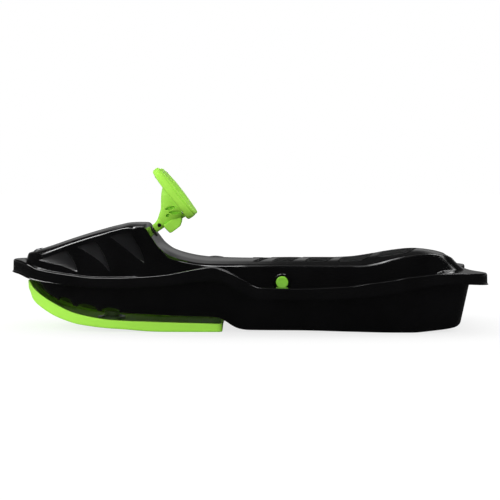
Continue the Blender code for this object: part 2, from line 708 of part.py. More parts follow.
def add_rim_screws(sled):
    """Screws driven up through the hull's flange into the deck's ledge, and their holes."""
    holes = bmesh.new()
    up = Vector((0, 0, 1))
    for number, (plan, flange, ledge) in enumerate(rim_screw_points(), 1):
        seat = plan + up * (flange - TOUCH_GAP)
        tip = plan + up * (ledge + SCREW_BITE)
        screw = fastener(f"rim_screw_{number:02d}", SCREW_RADIUS, tip.z - seat.z,
                         SCREW_HEAD_RADIUS, SCREW_HEAD)
        sled.add(screw, "zinc_steel", None, Matrix.Translation(seat))
        add_cylinder(holes, seat - up * CUT_PROUD, tip + up * HOLE_FIT, SCREW_RADIUS + HOLE_FIT, 8)
    return sled.cutter(mesh_object("rim_screw_holes", holes))


def fastener(name, radius, length, head_radius, head, segments=12):
    """Bolt or screw along local Z: its head lies below Z = 0 and its shank runs up from there."""
    profile = ((0, -head), (head_radius, -head), (head_radius, 0), (radius, 0),
               (radius, length), (0, length))
    return turned_object(name, profile, segments)


def column_hole():
    """Cutter for the bore of the deck's column boss."""
    return cylinder_object("column_bore", (0, 0, COLUMN_BOSS_FACE - COLUMN_BOSS_DEPTH - CUT_PAST),
                           (0, 0, COLUMN_BOSS_FACE + CUT_PAST), GUIDE_RADIUS + TOUCH_GAP, 24)


def tow_ring_frame():
    """Frame of the ring: local X along the ridge of the nose, Z out of the deck."""
    step = 0.010
    low = along(SPINE_TOP, TOW_RING_X - step)
    high = along(SPINE_TOP, TOW_RING_X + step)
    slope = math.atan2(high - low, 2 * step)
    place = Matrix.Translation((TOW_RING_X, 0, along(SPINE_TOP, TOW_RING_X)))
    return place @ Matrix.Rotation(-slope, 4, "Y")


def tow_torus(name, wire, half_width):
    """Ring in its plane of symmetry, with a tube that can be wider across than in the plane."""
    bpy.ops.mesh.primitive_torus_add(major_radius=TOW_RING_RADIUS, minor_radius=wire,
                                     major_segments=28, minor_segments=8)
    item = bpy.context.object
    item.name = name
    for collection in list(item.users_collection):
        collection.objects.unlink(item)
    widen = Matrix.Diagonal((1, 1, half_width / wire, 1))
    turn = Matrix.Translation((0, 0, -TOW_RING_SINK)) @ Matrix.Rotation(math.pi / 2, 4, "X")
    item.data.transform(turn @ widen)
    item.matrix_world = tow_ring_frame()
    return item


def add_tow_ring(sled):
    sled.add(tow_torus("tow_ring", TOW_WIRE_RADIUS, TOW_WIRE_RADIUS), "zinc_steel")
    return sled.cutter(tow_torus("tow_ring_slots", TOW_SLOT_RADIUS, TOW_SLOT_HALF_WIDTH))


def add_deck(sled, screw_holes, ring_slots):
    deck = sled.add(shell_object("upper_deck", deck_ribs(), DECK_WALL, False), "black_plastic")
    boss = sled.cutter(cylinder_object(
        "column_boss", (0, 0, COLUMN_BOSS_FACE - COLUMN_BOSS_DEPTH), (0, 0, COLUMN_BOSS_FACE),
        COLUMN_BOSS_RADIUS, 28), sled.steering)
    bore = sled.cutter(column_hole(), sled.steering)
    collars = bmesh.new()
    cups = bmesh.new()
    for side in (-1, 1):
        face = Vector((CAP_X, side * CAP_COLLAR_FACE, CAP_Z))
        inward = Vector((0, -side, 0))
        add_cylinder(collars, face, face + inward * CAP_COLLAR_DEPTH, CAP_COLLAR_RADIUS, 24)
        add_cylinder(cups, face - inward * CUT_PROUD, face + inward * CAP_CUP_DEPTH,
                     CAP_RADIUS + TOUCH_GAP, 24)
    rod_hole = sled.cutter(cylinder_object(
        "tie_rod_hole", (CAP_X, -CAP_COLLAR_FACE, CAP_Z), (CAP_X, CAP_COLLAR_FACE, CAP_Z),
        TIE_ROD_RADIUS + TOUCH_GAP, 12))
    boolean(deck, boss, "UNION")
    boolean(deck, sled.cutter(mesh_object("cap_collars", collars)), "UNION")
    boolean(deck, bore, "DIFFERENCE")
    boolean(deck, sled.cutter(mesh_object("cap_cups", cups)), "DIFFERENCE")
    boolean(deck, rod_hole, "DIFFERENCE")
    boolean(deck, screw_holes, "DIFFERENCE")
    boolean(deck, ring_slots, "DIFFERENCE")


def bolt_circle(radius, count=4):
    turns = [math.radians(45 + 360 * k / count) for k in range(count)]
    return [Vector((radius * math.cos(a), radius * math.sin(a), 0)) for a in turns]


def add_nut(sled, name, bore, radius, heights, material, parent, place):
    """Hexagon nut with a round bore, between two heights along its own Z."""
    low, high = heights
    item = cylinder_object(name, (0, 0, low), (0, 0, high), radius, 6)
    hole = cylinder_object(name + "_bore", (0, 0, low - CUT_PROUD), (0, 0, high + CUT_PROUD), bore, 16)
    sled.add(item, material, parent, place)
    sled.cutter(hole, parent).matrix_local = place
    boolean(item, hole, "DIFFERENCE")


def add_pad_bolt(sled, name, seat, length):
    """Bolt that points down from its seat on a flange."""
    bolt = fastener(name, PAD_BOLT_RADIUS, length, PAD_BOLT_HEAD_RADIUS, PAD_BOLT_HEAD)
    sled.add(bolt, "zinc_steel", sled.ski, Matrix.Translation(seat) @ Matrix.Rotation(math.pi, 4, "X"))


def bush_outer():
    return KINGPIN_RADIUS + RUNNING_GAP + BUSH_WALL


def add_hull(sled, screw_holes):
    hull = sled.add(shell_object("lower_hull", hull_ribs(), HULL_WALL, True), "black_plastic")
    pad = sled.cutter(cylinder_object("kingpin_pad", (0, 0, HULL_PAD_BOTTOM), (0, 0, HULL_PAD_TOP),
                                      HULL_PAD_RADIUS, 28), sled.ski)
    bore = sled.cutter(cylinder_object("kingpin_bore", (0, 0, HULL_PAD_BOTTOM - CUT_PAST),
                                       (0, 0, HULL_PAD_TOP + CUT_PAST), bush_outer() + TOUCH_GAP, 24),
                        sled.ski)
    bolts = bmesh.new()
    for place in bolt_circle(PAD_BOLT_CIRCLE):
        add_cylinder(bolts, place + Vector((0, 0, HULL_PAD_TOP - PAD_BOLT_BITE - HOLE_FIT)),
                     place + Vector((0, 0, HULL_PAD_TOP + CUT_PAST)), PAD_BOLT_RADIUS + HOLE_FIT, 8)
    boolean(hull, pad, "UNION")
    boolean(hull, bore, "DIFFERENCE")
    boolean(hull, sled.cutter(mesh_object("housing_bolt_holes", bolts), sled.ski), "DIFFERENCE")
    boolean(hull, screw_holes, "DIFFERENCE")


def add_housing(sled):
    """Upright bearing of the kingpin, bolted to the hull's pad, with its two bushes."""
    bore = bush_outer() + TOUCH_GAP
    outer = bore + HOUSING_WALL
    foot = HULL_PAD_TOP + TOUCH_GAP
    top = ARM_BOTTOM - BUSH_FLANGE - 2 * TOUCH_GAP
    profile = ((bore, foot), (HOUSING_FLANGE_RADIUS, foot),
               (HOUSING_FLANGE_RADIUS, foot + HOUSING_FLANGE), (outer, foot + HOUSING_FLANGE),
               (outer, top), (bore, top))
    housing = sled.add(turned_object("kingpin_housing", profile, 28), "dark_nylon", sled.ski)
    seat = foot + HOUSING_FLANGE + TOUCH_GAP
    holes = bmesh.new()
    up = Vector((0, 0, 1))
    for number, place in enumerate(bolt_circle(PAD_BOLT_CIRCLE), 1):
        add_cylinder(holes, place + up * (foot - CUT_PROUD), place + up * (seat + CUT_PROUD),
                     PAD_BOLT_RADIUS + HOLE_FIT, 8)
        add_pad_bolt(sled, f"housing_bolt_{number}", place + up * seat,
                     seat - HULL_PAD_TOP + PAD_BOLT_BITE)
    boolean(housing, sled.cutter(mesh_object("housing_holes", holes), sled.ski), "DIFFERENCE")
    inner = KINGPIN_RADIUS + RUNNING_GAP
    flange = HULL_PAD_BOTTOM - TOUCH_GAP
    low = ((inner, flange - BUSH_FLANGE), (BUSH_FLANGE_RADIUS, flange - BUSH_FLANGE),
           (BUSH_FLANGE_RADIUS, flange), (bush_outer(), flange),
           (bush_outer(), flange + BUSH_LENGTH), (inner, flange + BUSH_LENGTH))
    high = ((inner, top + TOUCH_GAP + BUSH_FLANGE), (inner, top - BUSH_LENGTH),
            (bush_outer(), top - BUSH_LENGTH), (bush_outer(), top + TOUCH_GAP),
            (BUSH_FLANGE_RADIUS, top + TOUCH_GAP), (BUSH_FLANGE_RADIUS, top + TOUCH_GAP + BUSH_FLANGE))
    sled.add(turned_object("kingpin_bush_lower", low), "white_nylon", sled.ski)
    sled.add(turned_object("kingpin_bush_upper", high), "white_nylon", sled.ski)


def add_ski(sled):
    ribs = [[point - Vector((KINGPIN_X, 0, 0)) for point in rib] for rib in ski_ribs()]
    ski = sled.add(shell_object("front_ski", ribs, SKI_WALL, True), "green_plastic", sled.ski)
    floor = along(SKI_LOW, KINGPIN_X + SKI_PAD_RADIUS)
    pad = sled.cutter(cylinder_object("ski_pad", (0, 0, floor + SKI_WALL / 2), (0, 0, SKI_PAD_TOP),
                                      SKI_PAD_RADIUS, 28), sled.ski)
    boolean(ski, pad, "UNION")
    holes = bmesh.new()
    up = Vector((0, 0, 1))
    seat = SKI_PAD_TOP + TOUCH_GAP + KINGPIN_FLANGE + TOUCH_GAP
    for number, place in enumerate(bolt_circle(PAD_BOLT_CIRCLE), 1):
        bottom = SKI_PAD_TOP - PAD_BOLT_BITE - HOLE_FIT
        add_cylinder(holes, place + up * bottom, place + up * (seat + CUT_PROUD),
                     PAD_BOLT_RADIUS + HOLE_FIT, 8)
        add_pad_bolt(sled, f"ski_bolt_{number}", place + up * seat,
                     seat - SKI_PAD_TOP + PAD_BOLT_BITE)
    cutter = sled.cutter(mesh_object("ski_bolt_holes", holes), sled.ski)
    boolean(ski, cutter, "DIFFERENCE")
    foot = SKI_PAD_TOP + TOUCH_GAP
    collar = HULL_PAD_BOTTOM - BUSH_FLANGE - 2 * TOUCH_GAP
    end = ARM_TOP + ARM_WASHER + ARM_NUT + 2 * TOUCH_GAP + KINGPIN_END
    profile = ((0, foot), (KINGPIN_FLANGE_RADIUS, foot),
               (KINGPIN_FLANGE_RADIUS, foot + KINGPIN_FLANGE),
               (KINGPIN_COLLAR_RADIUS, foot + KINGPIN_FLANGE), (KINGPIN_COLLAR_RADIUS, collar),
               (KINGPIN_RADIUS, collar), (KINGPIN_RADIUS, end), (0, end))
    kingpin = sled.add(turned_object("kingpin", profile), "zinc_steel", sled.ski)
    boolean(kingpin, cutter, "DIFFERENCE")


def add_steering_arm(sled):
    """Slotted lever on top of the kingpin, with its washer and nut."""
    bm = bmesh.new()
    add_cylinder(bm, (0, 0, ARM_BOTTOM), (0, 0, ARM_TOP), ARM_HUB_RADIUS, 28)
    arm = sled.add(mesh_object("steering_arm", bm), "zinc_steel", sled.ski)
    slot_half = CRANK_BALL_RADIUS + ARM_SLOT_FIT
    end = ARM_REACH + ARM_SLOT_LENGTH / 2
    blade = bmesh.new()
    add_box(blade, (0, -ARM_WIDTH / 2, ARM_BOTTOM + 0.0001),
            (end + ARM_SLOT_WALL, ARM_WIDTH / 2, ARM_TOP - 0.0001))
    slot = bmesh.new()
    add_box(slot, (ARM_REACH - ARM_SLOT_LENGTH / 2, -slot_half, ARM_BOTTOM - CUT_PAST),
            (end, slot_half, ARM_TOP + CUT_PAST))
    hole = cylinder_object("arm_bore", (0, 0, ARM_BOTTOM - CUT_PAST), (0, 0, ARM_TOP + CUT_PAST),
                           KINGPIN_RADIUS + TOUCH_GAP, 24)
    boolean(arm, sled.cutter(mesh_object("arm_blade", blade), sled.ski), "UNION")
    boolean(arm, sled.cutter(mesh_object("arm_slot", slot), sled.ski), "DIFFERENCE")
    boolean(arm, sled.cutter(hole, sled.ski), "DIFFERENCE")
    washer = ARM_TOP + TOUCH_GAP
    bore = KINGPIN_RADIUS + TOUCH_GAP
    sled.add(turned_object("arm_washer", ring_profile(bore, ARM_WASHER_RADIUS, washer, washer + ARM_WASHER)),
             "zinc_steel", sled.ski)
    nut = washer + ARM_WASHER + TOUCH_GAP
    add_nut(sled, "arm_nut", bore, ARM_NUT_RADIUS, (nut, nut + ARM_NUT), "zinc_steel", sled.ski,
            Matrix())


def add_column(sled):
    """Column rod, its guide in the deck, its washer and the crank with its ball."""
    frame = sled.steering
    hub_top = CRANK_ALONG + CRANK_HUB_LENGTH / 2
    rod_low = CRANK_ALONG - CRANK_HUB_LENGTH / 2 - COLUMN_END
    column = sled.add(cylinder_object("steering_column", (0, 0, rod_low), (0, 0, COLUMN_TOP),
                                      COLUMN_RADIUS, 24), "column_steel", frame)
    flange = COLUMN_BOSS_FACE + TOUCH_GAP
    inner = COLUMN_RADIUS + RUNNING_GAP
    guide_low = flange - GUIDE_LENGTH
    profile = ((inner, flange + GUIDE_FLANGE), (inner, guide_low), (GUIDE_RADIUS, guide_low),
               (GUIDE_RADIUS, flange), (GUIDE_FLANGE_RADIUS, flange),
               (GUIDE_FLANGE_RADIUS, flange + GUIDE_FLANGE))
    sled.add(turned_object("column_guide", profile), "dark_nylon", frame)
    washer_top = guide_low - TOUCH_GAP
    sled.add(turned_object("column_washer", ring_profile(
        inner, COLUMN_WASHER_RADIUS, hub_top + TOUCH_GAP, washer_top)), "white_nylon", frame)
    bm = bmesh.new()
    add_cylinder(bm, (0, 0, hub_top - CRANK_HUB_LENGTH), (0, 0, hub_top), CRANK_HUB_RADIUS, 24)
    crank = sled.add(mesh_object("column_crank", bm), "zinc_steel", frame)
    half = CRANK_ARM_WIDTH / 2
    blade = bmesh.new()
    add_box(blade, (-half, -CRANK_BLADE_REACH, CRANK_ALONG - CRANK_ARM_THICKNESS / 2),
            (half, 0, CRANK_ALONG + CRANK_ARM_THICKNESS / 2))
    neck = cylinder_object("crank_neck", (0, -CRANK_RADIUS, CRANK_ALONG),
                           (0, -CRANK_BLADE_REACH / 2, CRANK_ALONG), CRANK_NECK_RADIUS, 12)
    ball = bmesh.new()
    place = Matrix.Translation((0, -CRANK_RADIUS, CRANK_ALONG))
    bmesh.ops.create_uvsphere(ball, u_segments=16, v_segments=10, radius=CRANK_BALL_RADIUS,
                              matrix=place)
    bore = cylinder_object("crank_bore", (0, 0, hub_top - CRANK_HUB_LENGTH - CUT_PAST),
                           (0, 0, hub_top + CUT_PAST), COLUMN_RADIUS + TOUCH_GAP, 24)
    pin_half = CRANK_HUB_RADIUS + CRANK_PIN_PROUD
    past = pin_half + CUT_PAST
    hole = sled.cutter(cylinder_object("crank_pin_hole", (-past, 0, CRANK_ALONG), (past, 0, CRANK_ALONG),
                                       CRANK_PIN_RADIUS + TOUCH_GAP, 10), frame)
    boolean(crank, sled.cutter(mesh_object("crank_blade", blade), frame), "UNION")
    boolean(crank, sled.cutter(neck, frame), "UNION")
    boolean(crank, sled.cutter(mesh_object("crank_ball", ball), frame), "UNION")
    boolean(crank, sled.cutter(bore, frame), "DIFFERENCE")
    boolean(crank, hole, "DIFFERENCE")
    boolean(column, hole, "DIFFERENCE")
    sled.add(cylinder_object("crank_pin", (-pin_half, 0, CRANK_ALONG), (pin_half, 0, CRANK_ALONG),
                             CRANK_PIN_RADIUS, 10), "zinc_steel", frame)
    past = SLEEVE_FLAT + CUT_PAST
    bolt_hole = sled.cutter(cylinder_object(
        "wheel_bolt_hole", (-past, 0, WHEEL_BOLT_ALONG), (past, 0, WHEEL_BOLT_ALONG),
        WHEEL_BOLT_RADIUS + TOUCH_GAP, 12), frame)
    boolean(column, bolt_hole, "DIFFERENCE")
    return bolt_hole


def wheel_outline(inset=0.0):
    """Outer outline of the wheel: a round-cornered yoke, wider at the top."""
    width = WHEEL_HALF_WIDTH - inset
    top = WHEEL_TOP - inset
    low = WHEEL_LOW + inset
    right = [(0.0, top), (width * 0.50, top - 0.001), (width * 0.78, top - 0.008),
             (width * 0.94, top - 0.026), (width, top - 0.055), (width * 0.97, low + 0.060),
             (width * 0.86, low + 0.028), (width * 0.68, low + 0.008), (width * 0.40, low),
             (0.0, low)]
    return right + [(-x, y) for x, y in right[-2:0:-1]]


def grip_opening(side, inset=0.0):
    """Hand opening between the pad and the grip on one side."""
    outer = WHEEL_HALF_WIDTH - GRIP_WIDTH + inset
    inner = WHEEL_PAD_HALF_WIDTH - inset
    top = WHEEL_TOP - GRIP_WIDTH - 0.002 + inset
    low = WHEEL_LOW + WHEEL_BAR_HEIGHT - inset
    points = [(inner, top - 0.014), (inner + 0.010, top), (outer - 0.014, top - 0.003),
              (outer, top - 0.022), (outer - 0.002, low + 0.026), (outer - 0.013, low + 0.006),
              (inner + 0.012, low), (inner, low + 0.012)]
    return [(side * x, y) for x, y in points]


def flat_outline_mesh(name, loops, low, high, edge_round):
    """Plate of one outline with openings, as a mesh with welded caps."""
    data = bpy.data.curves.new(name, "CURVE")
    data.dimensions = "2D"
    data.fill_mode = "BOTH"
    data.resolution_u = 3
    data.extrude = (high - low) / 2 - edge_round
    data.bevel_depth = edge_round
    data.bevel_resolution = 1
    data.offset = -edge_round
    for loop in loops:
        spline = data.splines.new("BEZIER")
        spline.bezier_points.add(len(loop) - 1)
        for knot, (x, y) in zip(spline.bezier_points, loop):
            knot.co = (x, y, 0)
            knot.handle_left_type = "AUTO"
            knot.handle_right_type = "AUTO"
        spline.use_cyclic_u = True
    curve = bpy.data.objects.new(name, data)
    bpy.context.scene.collection.objects.link(curve)
    bpy.context.view_layer.update()
    depsgraph = bpy.context.evaluated_depsgraph_get()
    mesh = bpy.data.meshes.new_from_object(curve.evaluated_get(depsgraph))
    bpy.data.objects.remove(curve, do_unlink=True)
    bm = bmesh.new()
    bm.from_mesh(mesh)
    bmesh.ops.remove_doubles(bm, verts=bm.verts, dist=0.00002)
    bmesh.ops.translate(bm, verts=bm.verts, vec=(0, 0, (low + high) / 2))
    bpy.data.meshes.remove(mesh)
    return mesh_object(name, bm)


def hub_object():
    """Flared body between the column sleeve and the back of the wheel."""
    bm = bmesh.new()
    sides = 20
    rings = []
    for along_axis, half, top, low in HUB_SECTIONS:
        centre = (top + low) / 2
        height = (top - low) / 2
        ring = [bm.verts.new((half * math.cos(2 * math.pi * k / sides),
                              centre + height * math.sin(2 * math.pi * k / sides), along_axis))
                for k in range(sides)]
        rings.append(ring)
    for near, far in zip(rings, rings[1:]):
        for k in range(sides):
            n = (k + 1) % sides
            bm.faces.new((near[k], near[n], far[n], far[k]))
    bm.faces.new(rings[0][::-1])
    bm.faces.new(rings[-1])
    return mesh_object("wheel_hub", bm)


def add_wheel(sled, bolt_hole):
    frame = sled.steering
    openings = [grip_opening(1), grip_opening(-1)]
    shell = sled.add(flat_outline_mesh("wheel_shell", [wheel_outline()] + openings, WHEEL_BACK,
                                       WHEEL_FRONT, WHEEL_ROUND), "green_plastic", frame)
    chin = bmesh.new()
    add_box(chin, (-CHIN_HALF_WIDTH, CHIN_LOW, CHIN_BACK), (CHIN_HALF_WIDTH, 0, CHIN_FRONT))
    bore = cylinder_object("sleeve_bore", (0, 0, -CUT_PAST), (0, 0, COLUMN_TOP + TOUCH_GAP),
                           COLUMN_RADIUS + TOUCH_GAP, 24)
    boolean(shell, sled.cutter(hub_object(), frame), "UNION")
    boolean(shell, sled.cutter(mesh_object("wheel_chin", chin), frame), "UNION")
    boolean(shell, sled.cutter(bore, frame), "DIFFERENCE")
    boolean(shell, bolt_hole, "DIFFERENCE")
    inset = WHEEL_COVER_INSET
    loops = [wheel_outline(inset), grip_opening(1, inset), grip_opening(-1, inset)]
    cover_low = WHEEL_FRONT + TOUCH_GAP
    cover = sled.add(flat_outline_mesh("wheel_cover", loops, cover_low,
                                       cover_low + WHEEL_COVER, WHEEL_COVER_ROUND),
                     "green_plastic", frame)
    return shell, cover


def add_wheel_fasteners(sled, shell, cover):
    """Cross bolt and nut of the sleeve, and the screws that hold the front cover from behind."""
    frame = sled.steering
    seat = SLEEVE_FLAT + TOUCH_GAP
    across = Matrix.Translation((-seat, 0, WHEEL_BOLT_ALONG)) @ Matrix.Rotation(math.pi / 2, 4, "Y")
    sled.add(fastener("wheel_bolt", WHEEL_BOLT_RADIUS, 2 * seat + WHEEL_NUT + WHEEL_BOLT_END,
                      WHEEL_BOLT_HEAD_RADIUS, WHEEL_BOLT_HEAD, 16), "column_steel", frame, across)
    add_nut(sled, "wheel_nut", WHEEL_BOLT_RADIUS + TOUCH_GAP, WHEEL_BOLT_HEAD_RADIUS,
            (2 * seat, 2 * seat + WHEEL_NUT), "column_steel", frame, across)
    holes = bmesh.new()
    seat_z = WHEEL_BACK - TOUCH_GAP
    length = WHEEL_FRONT + TOUCH_GAP + COVER_SCREW_BITE - seat_z
    for number, (x, y) in enumerate(COVER_SCREWS, 1):
        screw = fastener(f"cover_screw_{number}", SCREW_RADIUS, length, COVER_SCREW_HEAD_RADIUS,
                         SCREW_HEAD)
        sled.add(screw, "zinc_steel", frame, Matrix.Translation((x, y, seat_z)))
        add_cylinder(holes, (x, y, seat_z - CUT_PROUD), (x, y, seat_z + length + HOLE_FIT),
                     SCREW_RADIUS + HOLE_FIT, 8)
    cutter = sled.cutter(mesh_object("cover_screw_holes", holes), frame)
    boolean(shell, cutter, "DIFFERENCE")
    boolean(cover, cutter, "DIFFERENCE")


def add_tie_rod(sled):
    cup = CAP_COLLAR_FACE - CAP_CUP_DEPTH
    nut_face = cup + TOUCH_GAP + TIE_NUT
    rod = cylinder_object("tie_rod", (CAP_X, -nut_face, CAP_Z), (CAP_X, nut_face, CAP_Z),
                          TIE_ROD_RADIUS, 12)
    sled.add(rod, "zinc_steel")
    for side, name in ((-1, "near"), (1, "far")):
        turn = Matrix.Translation((CAP_X, 0, CAP_Z)) @ Matrix.Rotation(-side * math.pi / 2, 4, "X")
        add_nut(sled, f"tie_nut_{name}", TIE_ROD_RADIUS + TOUCH_GAP, TIE_NUT_RADIUS,
                (cup + TOUCH_GAP, nut_face), "zinc_steel", None, turn)
        back = nut_face + TOUCH_GAP
        profile = ((0, back), (CAP_RADIUS, back), (CAP_RADIUS, CAP_FACE - CAP_DOME * 0.6),
                   (CAP_RADIUS * 0.90, CAP_FACE - CAP_DOME * 0.15), (CAP_RADIUS * 0.55, CAP_FACE),
                   (0, CAP_FACE))
        sled.add(turned_object(f"side_cap_{name}", profile, 28), "green_plastic", None, turn)


def main():
    clear_scene()
    sled = Sled()
    screw_holes = add_rim_screws(sled)
    ring_slots = add_tow_ring(sled)
    add_deck(sled, screw_holes, ring_slots)
    add_hull(sled, screw_holes)
    add_housing(sled)
    add_ski(sled)
    add_steering_arm(sled)
    bolt_hole = add_column(sled)
    shell, cover = add_wheel(sled, bolt_hole)
    add_wheel_fasteners(sled, shell, cover)
    add_tie_rod(sled)


main()
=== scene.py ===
"""Looks of the steering sled: finer shells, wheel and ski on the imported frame, with light and camera."""
import json
import math

import bmesh
import bpy
import numpy as np
from mathutils import Matrix, Vector


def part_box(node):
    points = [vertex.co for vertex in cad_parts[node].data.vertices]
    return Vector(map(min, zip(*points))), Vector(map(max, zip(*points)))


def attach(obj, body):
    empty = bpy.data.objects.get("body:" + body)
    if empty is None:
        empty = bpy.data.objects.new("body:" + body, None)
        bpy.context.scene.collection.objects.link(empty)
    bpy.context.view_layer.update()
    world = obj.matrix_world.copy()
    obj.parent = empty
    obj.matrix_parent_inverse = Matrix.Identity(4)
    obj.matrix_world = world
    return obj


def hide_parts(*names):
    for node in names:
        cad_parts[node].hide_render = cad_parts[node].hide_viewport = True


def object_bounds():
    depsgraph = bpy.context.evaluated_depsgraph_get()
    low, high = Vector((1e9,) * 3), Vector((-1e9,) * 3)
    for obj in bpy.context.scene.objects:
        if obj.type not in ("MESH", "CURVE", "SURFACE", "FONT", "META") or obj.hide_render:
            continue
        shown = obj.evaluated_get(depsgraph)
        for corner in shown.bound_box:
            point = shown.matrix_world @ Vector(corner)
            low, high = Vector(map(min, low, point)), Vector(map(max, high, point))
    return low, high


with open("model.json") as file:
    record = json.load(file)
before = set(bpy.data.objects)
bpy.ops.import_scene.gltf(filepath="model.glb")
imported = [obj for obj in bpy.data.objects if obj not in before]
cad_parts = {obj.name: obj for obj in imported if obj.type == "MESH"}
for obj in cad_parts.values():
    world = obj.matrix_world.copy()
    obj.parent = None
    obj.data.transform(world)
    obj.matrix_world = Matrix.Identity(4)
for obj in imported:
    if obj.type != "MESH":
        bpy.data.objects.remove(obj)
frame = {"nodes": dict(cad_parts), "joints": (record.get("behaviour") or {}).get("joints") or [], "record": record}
cad_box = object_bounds()

# Camera that lines the model up with the photograph
IMAGE_PIXELS = 500
CAMERA_DISTANCE = 3.0
CAMERA_ELEVATION = math.radians(3.0)
CAMERA_TARGET = Vector((0.0139, 0, 0.174))
FOCAL_PIXELS = 1301
SENSOR_MM = 36.0

# Overall size, and the plan of the rim from the nose tip to the middle of the tail
HALF_LENGTH = (cad_box[1].x - cad_box[0].x) / 2
HALF_WIDTH = 0.235
RIM_PLAN = (
    (-1.0, 0.0), (-0.989, 0.111), (-0.955, 0.238), (-0.888, 0.426), (-0.796, 0.574), (-0.686, 0.689),
    (-0.529, 0.809), (-0.37, 0.902), (-0.25, 0.95), (-0.166, 0.979), (-0.09, 0.99), (-0.02, 0.998),
    (0.05, 1.0), (0.14, 1.0), (0.29, 1.0), (0.434, 0.991), (0.54, 0.982), (0.636, 0.97), (0.72, 0.955),
    (0.804, 0.936), (0.912, 0.893), (0.968, 0.82), (0.999, 0.675), (0.993, 0.55), (0.974, 0.42),
    (0.96, 0.26), (0.956, 0.0),
)
NOSE_SHARE = -0.748
TAIL_SHARE = 0.804
# Steps between the plan's points, and the closer spacing up to the front's end
RIM_STEPS = 24
FRONT_END = -0.15
FRONT_STEP = 0.0022
REAR_STEP = 0.005
NOSE_TRIM = 0.0045
TAIL_TRIM = 0.002
TRIM_START = 0.48

# Heights of the rim, metres, against the share of half length
RIM_TOP = (
    (-1.0, 0.1525), (-0.96, 0.152), (-0.921, 0.1485), (-0.867, 0.1365), (-0.798, 0.13),
    (-0.689, 0.1235), (-0.616, 0.1205), (-0.533, 0.121), (-0.429, 0.1235), (-0.327, 0.1285),
    (-0.224, 0.1387), (-0.173, 0.1437), (-0.137, 0.146), (-0.11, 0.1447), (-0.093, 0.1425),
    (-0.05, 0.1335), (-0.005, 0.121), (0.034, 0.109), (0.065, 0.1035), (0.105, 0.102), (0.225, 0.101),
    (0.304, 0.102), (0.373, 0.104), (0.423, 0.1055), (0.503, 0.1115), (0.603, 0.1185), (0.652, 0.1235),
    (0.729, 0.128), (0.805, 0.132), (0.87, 0.1325), (0.94, 0.131), (1.0, 0.13),
)
RIM_LOW = (
    (-1.0, 0.1235), (-0.945, 0.1198), (-0.893, 0.1124), (-0.813, 0.1065), (-0.724, 0.1025),
    (-0.638, 0.0997), (-0.532, 0.0992), (-0.429, 0.1018), (-0.375, 0.1036), (-0.275, 0.1093),
    (-0.172, 0.116), (-0.126, 0.1179), (-0.089, 0.1157), (-0.026, 0.0981), (0.026, 0.0832),
    (0.07, 0.0775), (0.273, 0.0773), (0.405, 0.08), (0.505, 0.0835), (0.605, 0.0913), (0.681, 0.0984),
    (0.753, 0.106), (0.805, 0.1093), (0.9, 0.108), (0.96, 0.106), (1.0, 0.104),
)
LEDGE_WIDTH = 0.028
WELL_LEDGE_WIDTH = 0.042
LEDGE_WIDTHS = (
    (-0.25, LEDGE_WIDTH), (-0.1, WELL_LEDGE_WIDTH), (0.74, WELL_LEDGE_WIDTH), (0.85, LEDGE_WIDTH),
)

# Seat, cowl and leg wells, metres, against the share of half length
SPINE_TOP = (
    (-0.944, 0.163), (-0.923, 0.1662), (-0.834, 0.1812), (-0.728, 0.2005), (-0.62, 0.2183),
    (-0.539, 0.2298), (-0.479, 0.2361), (-0.445, 0.2368), (-0.414, 0.2366), (-0.385, 0.213),
    (-0.35, 0.189), (-0.277, 0.168), (-0.234, 0.1615), (-0.189, 0.1572), (-0.139, 0.1545),
    (0.026, 0.153), (0.241, 0.1548), (0.379, 0.155), (0.458, 0.157), (0.517, 0.1612), (0.587, 0.1675),
    (0.655, 0.1725), (0.741, 0.1762), (0.811, 0.1722), (0.86, 0.165), (0.879, 0.1591), (0.897, 0.1522),
    (0.931, 0.1377), (0.948, 0.132), (1.0, 0.129),
)
SEAT_EDGE_TOP = (
    (-0.944, 0.158), (-0.933, 0.16), (-0.834, 0.1752), (-0.728, 0.1945), (-0.62, 0.2122),
    (-0.539, 0.2228), (-0.479, 0.2295), (-0.42, 0.2295), (-0.385, 0.208), (-0.35, 0.1835),
    (-0.3, 0.165), (-0.237, 0.1555), (-0.187, 0.1505), (-0.13, 0.1478), (0.026, 0.1455),
    (0.234, 0.144), (0.4, 0.1435), (0.48, 0.144), (0.56, 0.15), (0.619, 0.158), (0.69, 0.1655),
    (0.77, 0.169), (0.83, 0.1655), (0.88, 0.157), (0.897, 0.1522), (0.931, 0.138), (1.0, 0.129),
)
SHOULDER_TOP = (
    (-0.944, 0.149), (-0.821, 0.1721), (-0.733, 0.1887), (-0.604, 0.2093), (-0.55, 0.2195),
    (-0.487, 0.2259), (-0.455, 0.2208), (-0.438, 0.2098), (-0.412, 0.1938), (-0.381, 0.1768),
    (-0.323, 0.1618), (-0.26, 0.1536), (-0.18, 0.1472), (-0.098, 0.142), (0.026, 0.138),
    (0.191, 0.135), (0.344, 0.1345), (0.418, 0.1345), (0.498, 0.1376), (0.572, 0.1436),
    (0.652, 0.1535), (0.706, 0.1576), (0.772, 0.1585), (0.83, 0.156), (0.89, 0.148), (0.916, 0.144),
    (0.94, 0.1365), (1.0, 0.129),
)
SHOULDER_WIDTH = (
    (-0.944, 0.04), (-0.89, 0.052), (-0.819, 0.065), (-0.731, 0.078), (-0.6, 0.09), (-0.487, 0.098),
    (-0.455, 0.103), (-0.438, 0.11), (-0.412, 0.121), (-0.381, 0.132), (-0.323, 0.147), (-0.26, 0.155),
    (-0.18, 0.154), (-0.098, 0.144), (0.034, 0.13), (0.2, 0.13), (0.428, 0.126), (0.583, 0.122),
    (0.718, 0.116), (1.0, 0.112),
)
